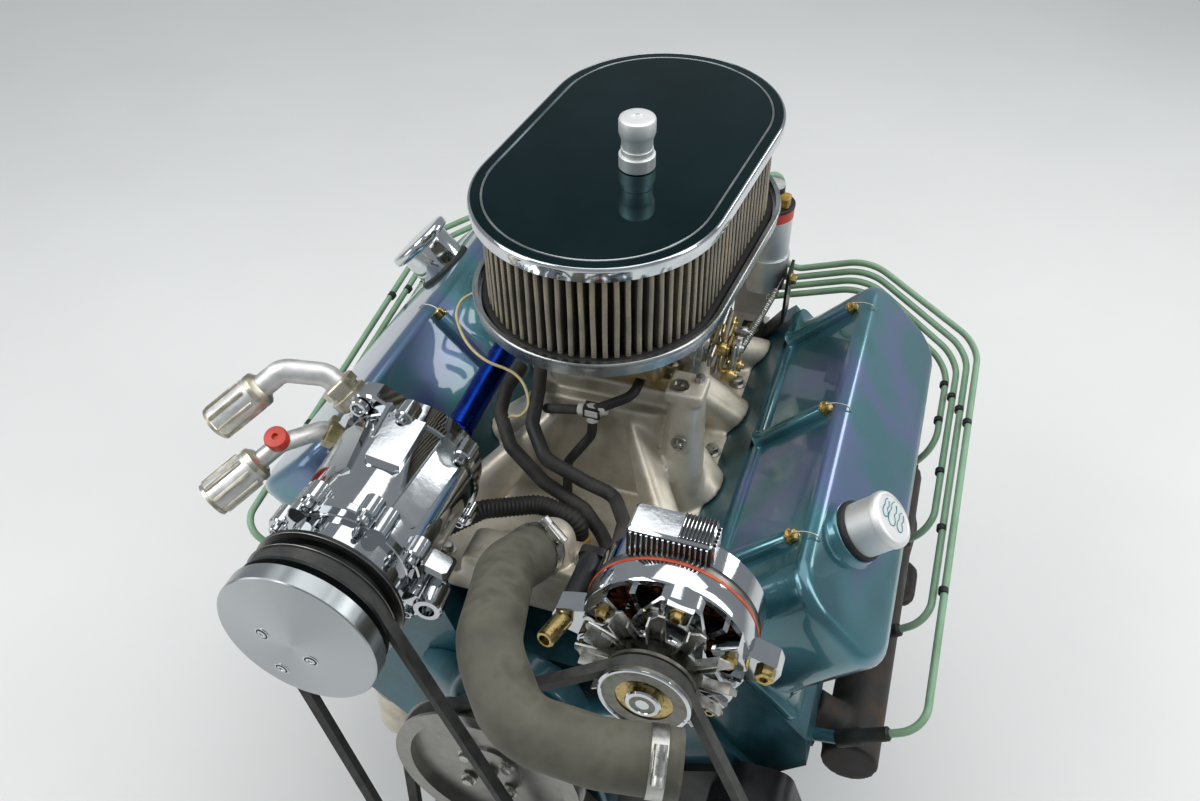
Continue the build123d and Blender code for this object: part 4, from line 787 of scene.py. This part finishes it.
def on_drum(angle, reach, ahead_of_rear):
    """A point in millimetres about the compressor's axis: degrees from the right, radius, distance ahead."""
    return Vector((cx + reach * cos(radians(angle)), -ahead_of_rear, cz + reach * sin(radians(angle))))


def facet(shape, sections):
    """A raised flat on the drum: each section is a distance ahead, two angles, and the height of the flat."""
    under = 54     # the flat's sides go down into the drum as far as this radius
    rings = []
    for ahead_of_rear, first, last, reach in sections:
        corners = ((first, reach), (last, reach), (last + 3, under), (first - 3, under))
        rings.append([on_drum(angle, radius, ahead_of_rear) / 1000 for angle, radius in corners])
    skin(shape, rings)


dress("compressor_body", polished, 1.4)
dress("compressor_rear_head", polished, 1.6)
shape = bmesh.new()
for ahead_of_rear, radius, thick in ((486, 60, 9), (593, 59.5, 8)):
    turn(shape, [(56, 0), (radius - 1.2, 0), (radius, 1.2), (radius, thick - 1.2), (radius - 1.2, thick),
                 (56, thick)], on_drum(0, 0, ahead_of_rear), ahead, 96)
for ahead_of_rear, angles in ((482, (32, 86, 260, 320)), (584, (22, 68, 112, 162, 214, 266, 322))):
    for angle in angles:
        at = on_drum(angle, 61, ahead_of_rear)
        turn(shape, [(7, 0), (8.4, 1), (8.4, 17), (7.4, 18.4), (0, 18.4)], at, ahead, 32)
        turn(shape, [(4.8, 18), (4.8, 24), (3.8, 25), (2.7, 25), (2.5, 22.5), (0, 22.5)], at, ahead, 24)
# Raised flats on the drum, and an ear with two ribs for the plugged port behind them
facet(shape, [(500, 118, 150, 63), (516, 112, 152, 62), (560, 104, 150, 61), (566, 108, 148, 58)])
facet(shape, [(496, 70, 96, 64), (548, 68, 94, 64), (552, 70, 92, 59)])
facet(shape, [(496, 30, 52, 62), (580, 34, 56, 60), (584, 36, 54, 57)])
slab(shape, [(96, 56), (112, 72), (122, 78), (132, 78), (146, 68), (158, 56)], 470, 488, 2, on_drum)
facet(shape, [(487, 100, 104, 66), (520, 103, 105, 58)])
facet(shape, [(487, 148, 152, 66), (520, 148, 150, 58)])
turn(shape, [(8.6, 0), (8.6, 4), (7.4, 5), (5.4, 5), (5, 1), (0, 1)], on_drum(127, 68, 489), ahead, 32)
turn(shape, [(11, 0), (12, 1), (12, 22), (10.6, 24), (6.4, 24.4), (6, 14), (0, 14)],
     (cx + 64, -586, cz - 24), (0.12, -1, 0), 32)
chamfered(shape, (cx + 58, -578, cz - 14), (30, 24, 26), Matrix.Rotation(radians(20), 3, "Y"), 3)
piece("compressor_flanges", shape, polished, angle=28)
dress("compressor_pulley", satin_black, 0.5)
shape = bmesh.new()
for ahead_of_rear, radius in ((633, 61.6), (645, 61.8), (658, 61.2)):
    turn(shape, [(60, 0), (radius, 0.1), (radius + 0.3, 0.5), (radius, 0.9), (60, 1)],
         on_drum(0, 0, ahead_of_rear), ahead, 96)
piece("pulley_lips", shape, steel, body="compressor_rotor")
# The lathe's rings stretch each highlight into a fan from the middle to the edge. Real rings are about 0.1 mm
# apart; they are drawn at 1.4 mm, the least that shows.
brushed = surface("turned and brushed aluminium", ("#aeb3b5",), 0.27, metallic=1.0, Anisotropic=0.95,
                  Anisotropic_Rotation=0.25)
tree = brushed.node_tree
shader = tree.nodes["Principled BSDF"]
sweep_round = add(tree, "ShaderNodeTangent", {"direction_type": "RADIAL", "axis": "Y"})
tree.links.new(sweep_round.outputs[0], shader.inputs["Tangent"])
place = add(tree, "ShaderNodeTexCoord")
centred = add(tree, "ShaderNodeMapping", {"Location": (-cx / 1000, 0, -cz / 1000)},
              {"Vector": place.outputs["Object"]})
marks_apart = 0.0014
tool_marks = add(tree, "ShaderNodeTexWave", {"wave_type": "RINGS", "rings_direction": "Y", "Detail": 2,
                                             "Scale": wave_length / marks_apart, "Distortion": 0.4},
                 {"Vector": centred.outputs[0]})
raised = add(tree, "ShaderNodeBump", {"Strength": 0.5, "Distance": 0.00002},
             {"Height": tool_marks.outputs["Fac"]})
tree.links.new(raised.outputs[0], shader.inputs["Normal"])
cover_front, cone, face_radius = 681, 6, 63.2     # the face rises by the cone's height towards its middle
shape = bmesh.new()
turn(shape, [(30, -24), (30, -14.8), (58.6, -14.6), (59, -15), (63.4, -15), (64, -14.4), (64, -0.9),
             (face_radius, 0.08), (42, cone / 3), (21, cone * 2 / 3), (0, cone)],
     on_drum(0, 0, cover_front), ahead, 160)
piece("clutch_cover_turning", shape, brushed, body="compressor_rotor",
      instead=("clutch_cover",))
# A flat black disc under each screw, showing round its head: painted shade of the screw's recess.
screws, screw_shade = bmesh.new(), bmesh.new()
for x, z in ((-144, 361), (-107, 346), (-137, 321)):
    outward = Vector((x - cx, 0, z - cz))
    at = Vector((x, -cover_front - cone * (1 - outward.length / face_radius), z))
    square = (ahead + outward.normalized() * cone / face_radius).normalized()
    turn(screw_shade, [(5, -0.5), (5, 0.1), (0, 0.12)], at, square, 32)
    turn(screws, [(6, -0.5), (6, 0.25), (5.6, 0.45), (5, 0.4), (4.8, -0.5)], at, square, 32, band=True)
    turn(screws, [(3.6, 0.1), (3.6, 0.7), (3.2, 0.95), (2, 0.95), (1.8, 0.3), (0, 0.3)], at, square, 24)
piece("clutch_cover_screws", screws, chrome, body="compressor_rotor")
piece("painted_shade_round_screws", screw_shade, satin_black, body="compressor_rotor")

# Refrigerant pipes: two bent aluminium pipes on the compressor's ports. A hexagon nut holds each at its port,
# a fluted ferrule is crimped on its free end, and the lower one has a red cap over its charging port.
# Drawn tube is nearly white, soft in its shine, with faint lines along it.
drawn = surface("drawn aluminium tube", ("#cfcfcb", "#dededb", "#e8e8e5"), (0.44, 0.56), patch=12,
                grain=(1.2, 0.03), metallic=1.0)
# The older nut's yellow dip has gone olive and cloudy.
olive = surface("aged yellow passivated zinc", ("#7f7754", "#a79f7c"), (0.26, 0.45), patch=8, metallic=1.0)
# The newer plate is a creamy silver that picks up a fine unevenness from the crimping tool.
plated = surface("warm white zinc plate", ("#bab29d", "#d8d3c4"), (0.28, 0.46), patch=10, grain=(1.4, 0.03),
                 metallic=1.0)
# The cap is a cheerful red that has faded unevenly and gone from glossy to soft.
red_plastic = surface("red moulded cap", ("#b23324", "#cc4331"), (0.35, 0.5), patch=8)
for name in ("suction_fitting", "discharge_fitting"):
    dress(name, drawn, 0.6)
flutes = bmesh.new()
for name, finish, port, bends, pipe_r in (
        ("suction_nut", plated, (-169.7, -477, 403.7), ((-25, 0, 25), (-56, -16, 34), (-76, -32, 17)), 10),
        ("discharge_nut", olive, (-178.6, -479, 361), ((-22, -8, 14), (-44, -41, 20), (-61, -63, 7)), 8)):
    shape = bmesh.new()
    port = Vector(port)
    first, before, last = (port + Vector(bend) for bend in bends)
    out = (first - port).normalized()
    turn(shape, [(pipe_r + 5, 0), (pipe_r + 7, 1.5), (pipe_r + 7, 11), (pipe_r + 5, 12.5)],
         port + out * 1.5, out, 6)
    turn(shape, [(pipe_r + 4, 12), (pipe_r + 4, 15), (pipe_r + 6.5, 15.4), (pipe_r + 6.5, 23),
                 (pipe_r + 5, 24.4), (pipe_r, 25)], port + out * 1.5, out, 6)
    end = (last - before).normalized()
    turn(flutes, [(11, -10), (13, -8), (15.6, -6.4), (15.8, -2), (14.6, -1)], last, end, 48)
    across = end.orthogonal().normalized()
    for i in range(8):
        a = 2 * pi * i / 8
        rib = (across * cos(a) + end.cross(across) * sin(a)) * 15.1
        turn(flutes, [(1.6, 2), (2, 4), (2, 36), (1.6, 38)], last + rib, end, 8)
    turn(flutes, [(14.8, 38), (15.7, 39), (15.7, 41.4), (14.6, 42)], last, end, 48)
    piece(name, shape, finish)
piece("crimped_ferrules", flutes, plated)
shape = bmesh.new()
turn(shape, [(8.4, 4), (9.8, 5), (10, 14), (9, 15.6), (3, 16), (2.4, 13), (0, 13)],
     (-222.6, -520, 381), Vector((0.1, -0.45, 0.9)).normalized(), 24)
piece("charging_cap", shape, red_plastic)

# Radiator hose: thick rubber moulded to its bends, pushed over the thermostat housing's neck.
# A worm-drive clamp of steel band grips it near each end.


def bent(points, radii):
    """A path in millimetres along straight runs joined by round bends."""
    points = [Vector(p) for p in points]
    path = [points[0]]
    for before, corner, after, radius in zip(points, points[1:], points[2:], radii):
        a, b = (before - corner).normalized(), (after - corner).normalized()
        share = a.angle(b) / 2
        centre = corner + (a + b).normalized() * radius / sin(share)
        start = corner + a * radius / tan(share) - centre
        axis = start.cross(corner - centre)
        for i in range(15):
            path.append(centre + Matrix.Rotation((pi - 2 * share) * i / 14, 3, axis) @ start)
    return path + [points[-1]]


def spaced(path, step):
    """The same path with its points that many millimetres apart."""
    even, left = [path[0]], step
    for a, b in zip(path, path[1:]):
        run = (b - a).length
        while left <= run:
            even.append(a.lerp(b, left / run))
            left += step
        left -= run
    return even


def sweep(shape, path, radius, sides, ends=True):
    """A tube along a path; its radius is a number or a function of the point's index."""
    across = (path[1] - path[0]).orthogonal().normalized()
    rings = []
    for i, at in enumerate(path):
        along = (path[min(i + 1, len(path) - 1)] - path[max(i - 1, 0)]).normalized()
        across = (across - along * across.dot(along)).normalized()
        other = along.cross(across)
        r = radius(i) if callable(radius) else radius
        rings.append([(at + (across * cos(a) + other * sin(a)) * r) / 1000
                      for a in (2 * pi * k / sides for k in range(sides))])
    skin(shape, rings, ends, ends)


# Old rubber is a dull grey-green, blotched by dust and heat over a few centimetres, with hardly any shine.
old_rubber = surface("old moulded hose rubber", ("#45443a", "#504f44", "#5b5a4e", "#4a493e"), (0.6, 0.8),
                     patch=50, grain=(1.6, 0.12), detail=3)
neck_run = Vector((-6, -46, 26)).normalized()
hose_start = Vector((5, -490, 308)) + neck_run * 24
hose_path = spaced(bent([hose_start, hose_start + neck_run * 62, (22, -660, 385), (58, -700, 366),
                         (116, -700, 362), (172, -688, 358)], (60, 45, 42, 60)), 4)
hose_bore = 19
shape = bmesh.new()
sweep(shape, hose_path, lambda i: 23.3 + 0.2 * sin(i * 0.31) * sin(i * 0.13), 48, False)
sweep(shape, list(reversed(hose_path)), hose_bore, 48, False)
for at, toward in ((hose_path[0], hose_path[1]), (hose_path[-1], hose_path[-2])):
    turn(shape, [(hose_bore, 0), (22.6, 0.05), (23.4, 0.9), (23.4, 3), (hose_bore, 3)], at, toward - at, 48,
         band=True)
piece("radiator_hose_moulding", shape, old_rubber, instead=("radiator_hose",), angle=50)
shape = bmesh.new()
screw_side = Vector((0.3, -0.6, 1))
for i in (3, -5):
    at, along = hose_path[i], (hose_path[i + 1] - hose_path[i]).normalized()
    turn(shape, [(23.2, -5.5), (24.5, -5.6), (24.6, 5.6), (23.2, 5.5)], at, along, 64, band=True)
    up = (screw_side - along * along.dot(screw_side)).normalized()
    round_hose = along.cross(up)
    chamfered(shape, at + up * 27, (16, 9, 6), Matrix((round_hose, along, up)).transposed(), 1)
    turn(shape, [(4.4, -11), (4.4, 7), (4.2, 8), (4.4, 9), (4.4, 14), (3.6, 15)], at + up * 28,
         round_hose, 12)
piece("hose_clamps", shape, zinc)

# Heater and vacuum hoses, loom and sender: extruded rubber hoses pushed on their ports, joined by a tee of
# moulded nylon. The loom is a ribbed tube that brings the coolant sender's wire across the manifold.
# Hose rubber is nearly black and half dull, and dust lies on it in patches of a few centimetres.
hose_black = surface("dusty black hose rubber", ("#1f1f1e", "#2e2d2b", "#413f3b"), (0.55, 0.8), patch=30,
                     grain=(1.2, 0.06))
# Nylon lets a little light in, which makes it look milky, and age has yellowed it in places.
nylon = surface("white nylon", ("#d3cfc2", "#e4e1d7"), (0.36, 0.5), patch=12, Subsurface_Weight=0.15)
# The connector's heat-stained plastic goes from mustard to brown and is half dull.
yellow_plastic = surface("yellow-brown connector plastic", ("#8f6f24", "#b8953c"), (0.4, 0.55), patch=10)
dress("heater_hoses", hose_black)
dress("vacuum_hose", hose_black)
loom_path = spaced(bent([(-98, -488, 288), (-68, -466, 300), (-22, -447, 303), (16, -452, 301),
                         (16, -452, 275.2)], (24, 30, 14)), 0.9)
one_rib = (9, 8.9, 8.1, 8.2)
shape = bmesh.new()
sweep(shape, loom_path, lambda i: one_rib[i % len(one_rib)], 28)
piece("ribbed_loom", shape, moulded_rubber, instead=("wire_loom",), angle=60)
tee = (2, -371, 357)
shape = bmesh.new()
chamfered(shape, tee, (17, 12, 12), edge=3)
for outlet in ((-1, -0.02, -0.1), (1, 0.02, 0.4)):
    turn(shape, [(5.6, 8), (5.8, 10), (5.6, 13), (5.2, 13.6)], tee, outlet, 24)
turn(shape, [(5.6, 5.6), (5.8, 8), (5.4, 11)], tee, (0, -0.1, -1), 24)
piece("vacuum_tee", shape, nylon)
dress("coolant_sender", brass, 0.4)
shape = bmesh.new()
turn(shape, [(10.2, 0), (10.4, 1), (10.4, 8), (9.4, 9.4), (7, 10), (6.8, 12)], (16, -452, 272), plumb, 24)
piece("sender_connector", shape, yellow_plastic)

# Fuel line, filter and choke wire: the filter is an anodised aluminium tube with a collar at each end and a
# red flare fitting below. The choke's wire hangs beside it in a loose hook.
# Dyed oxide turns the metal's shine a deep blue, or a deep red, and a bit paler where the dye took less.
blue = surface("blue anodised aluminium", ("#0c2370", "#153a98"), (0.22, 0.34), patch=20, metallic=1.0)
red_anodised = surface("red anodised aluminium", ("#8f1220", "#bd2030"), (0.2, 0.34), patch=20, metallic=1.0)
# The wire's cream plastic has a low gloss and has gone a little brown along its length.
insulation = surface("cream wire insulation", ("#c2ae78", "#dccb9a"), (0.45, 0.6), patch=20)
dress("fuel_filter", blue, 0.8)
dress("fuel_line", drawn)
filter_top, filter_low = Vector((-112, -300, 345)), Vector((-122, -392, 318))
filter_run = (filter_low - filter_top).normalized()
shape = bmesh.new()
turn(shape, [(12.8, 8), (13.3, 8.6), (13.3, 12), (12.8, 12.6)], filter_top, filter_run, 48)
turn(shape, [(12.8, -12), (13.3, -11.4), (13.3, -8), (12.8, -7.4)], filter_low, filter_run, 48)
turn(shape, [(11, 1), (12.6, 2), (12.6, 11), (11, 12)], filter_low, filter_run, 6)
piece("filter_collars", shape, blue)
shape = bmesh.new()
turn(shape, [(8, 15), (9.6, 16), (9.6, 25), (8.2, 26), (8.2, 33), (6, 34)], filter_low, filter_run, 6)
piece("flare_fitting", shape, red_anodised)
choke_run = [(-74, -268, 392), (-124, -252, 388), (-164, -272, 382), (-161, -303, 382), (-147, -325, 381),
             (-131, -343, 379), (-116, -353, 377), (-102, -358, 375), (-88, -358, 373), (-75, -361, 371),
             (-64, -369, 368), (-56, -380, 362), (-54, -388, 356), (-62, -392, 348), (-74, -382, 340),
             (-88, -374, 318)]
bent_wire("choke_wire", [choke_run], 1.4, insulation)

# Ignition: the coil is a pressed steel can with a red band under its moulded tower, in a clamp at the rear.
# Eight silicone wires run from the distributor round each bank to the plugs, in boots and plastic separators.
# Brushed tin plate is a pale silver with a wide, soft highlight down the can.
can = surface("brushed tinned steel can", ("#d0d2d2", "#e2e3e3"), (0.48, 0.58), patch=20, metallic=1.0)
# Silicone lets a little light in, so the pale green looks soft, and it has only a low gloss.
silicone = surface("pale green silicone", ("#739b7c", "#88ad8f"), (0.36, 0.5), patch=40,
                   Subsurface_Weight=0.08)
dress("ignition_coil", can, 0.8)
coil_top = Vector((96, -65, 417))
shape = bmesh.new()
turn(shape, [(24, -11), (24.5, -10.6), (24.5, 0), (24, 0.4)], coil_top, plumb, 64)
piece("coil_band", shape, red_plastic)
shape = bmesh.new()
turn(shape, [(24.2, 0), (25, 1), (25, 3.4), (23.6, 4.4), (21, 4.2), (20, 5.6), (14, 8), (12.4, 9), (12.4, 23),
             (11, 24.4), (6, 24.4)], coil_top, plumb, 64)
piece("coil_tower", shape, moulded_rubber)
shape = bmesh.new()
chamfered(shape, (110, -72, 428), (12, 16, 12), edge=1.6)
piece("coil_connector", shape, yellow_plastic)
dress("distributor", moulded_rubber, 1.5)
plug_ahead = 36     # each plug stands this far ahead of the middle of its bore
boots, separators = bmesh.new(), bmesh.new()
for side, name in ((1, "right"), (-1, "left")):
    dress("plug_wires_" + name, silicone)
    for i in range(4):
        spread = 9 * i     # each wire runs outside the one before it
        along = -(bank_middle[side] + (i - 1.5) * bore_spacing + plug_ahead)
        rear = (34 if side > 0 else 18.5) - 4.5 * i
        high, low = 232 + spread, 213.6 - spread
        plug_end = Vector((side * 274.5, along, 143.6))
        into = (plug_end - Vector((side * (312 + spread), along, low))).normalized()
        turn(boots, [(4.2, -46), (6.4, -44), (6.8, -20), (8.2, -18), (8.4, 2), (7.6, 4)], plug_end, into, 24)
        a = radians(67.5 - 45 * i)
        turn(boots, [(8.4, 0), (8.6, 10), (6.4, 13), (5.6, 20), (4, 21)],
             (side * 34 * cos(a), -70 + 34 * sin(a), 384), plumb, 24)
        for share in (0.25, 0.7):
            at = (side * (310.8 + spread), -rear + (along + rear) * share, high + (low - high) * share)
            turn(separators, [(4.4, -3.4), (4.8, -3), (4.8, 3), (4.4, 3.4)], at, (0, 1, 0), 24)
piece("plug_boots", boots, moulded_rubber)
piece("wire_separators", separators, moulded_rubber)

# Throttle bracket and return spring: a bracket bent from plate, painted black and bolted to the manifold.
# A close-wound spring of bright wire pulls the throttle lever back to it.
dress("throttle_bracket", satin_black, 0.5)
hook, lever_hole = Vector((121, -88, 344)), Vector((105.4, -264, 356))
spring_run = (lever_hole - hook).normalized()
spring_x = spring_run.orthogonal().normalized()
spring_y = spring_run.cross(spring_x)
turns, points_a_turn, coil_start, coil_length, coil_radius, wire = 34, 10, 28, 122, 3.2, 0.75
steps = turns * points_a_turn
coil_path = []
for i in range(steps + 1):
    a = 2 * pi * i / points_a_turn
    coil_path.append(hook + spring_run * (coil_start + coil_length * i / steps)
                     + (spring_x * cos(a) + spring_y * sin(a)) * coil_radius)
shape = bmesh.new()
sweep(shape, coil_path, wire, 8)
sweep(shape, [hook, hook + spring_run * 27, coil_path[0]], wire, 8)
sweep(shape, [coil_path[-1], hook + spring_run * 151, lever_hole], wire, 8)
piece("return_spring_coil", shape, zinc, instead=("return_spring",))
shape = bmesh.new()
hex_bolt(shape, (128, -76, 338), (1, 0, 0), 6, 5)
hex_bolt(shape, (92, -76, 261), plumb, 6, 5)
piece("bracket_bolts", shape, gold)

# Low pieces: cast iron exhaust manifolds bolted under each head, and round the block the brackets, steering
# pump, starter, mounts and oil filter in black enamel, with the fuel pump in bare aluminium.
# The manifolds' coating has burnt to grey-black with rust brown showing through the iron's rough skin.
coated = surface("grey-black coated iron", ("#201f1f", "#2f2e2c", "#4a3c32"), (0.5, 0.75), patch=30,
                 grain=(1.2, 0.2), metallic=0.4)
cast("exhaust_manifold_right", coated, 3, 4)
cast("exhaust_manifold_left", coated, 3, 4)
for name in ("alternator_bracket", "compressor_bracket", "power_steering_pump", "steering_bracket", "starter",
             "engine_mount_right", "engine_mount_left", "oil_filter"):
    dress(name, satin_black, 1.0)
dress("fuel_pump", sand_cast, 1.0)
shape = bmesh.new()
for side in (1, -1):
    for i in range(4):
        for off in (-26, 26):
            along = -(bank_middle[side] + (i - 1.5) * bore_spacing + off)
            hex_bolt(shape, on_bank(side, 78, along, 259), (side, 0, -1), 6, 6)
    mount_middle = bank_middle[side] - 120
    for off in (-34, 34):
        hex_bolt(shape, (side * 286.3, -(mount_middle + off), 11.5), plumb, 6, 6)
piece("exhaust_bolts", shape, steel)

low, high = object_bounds()
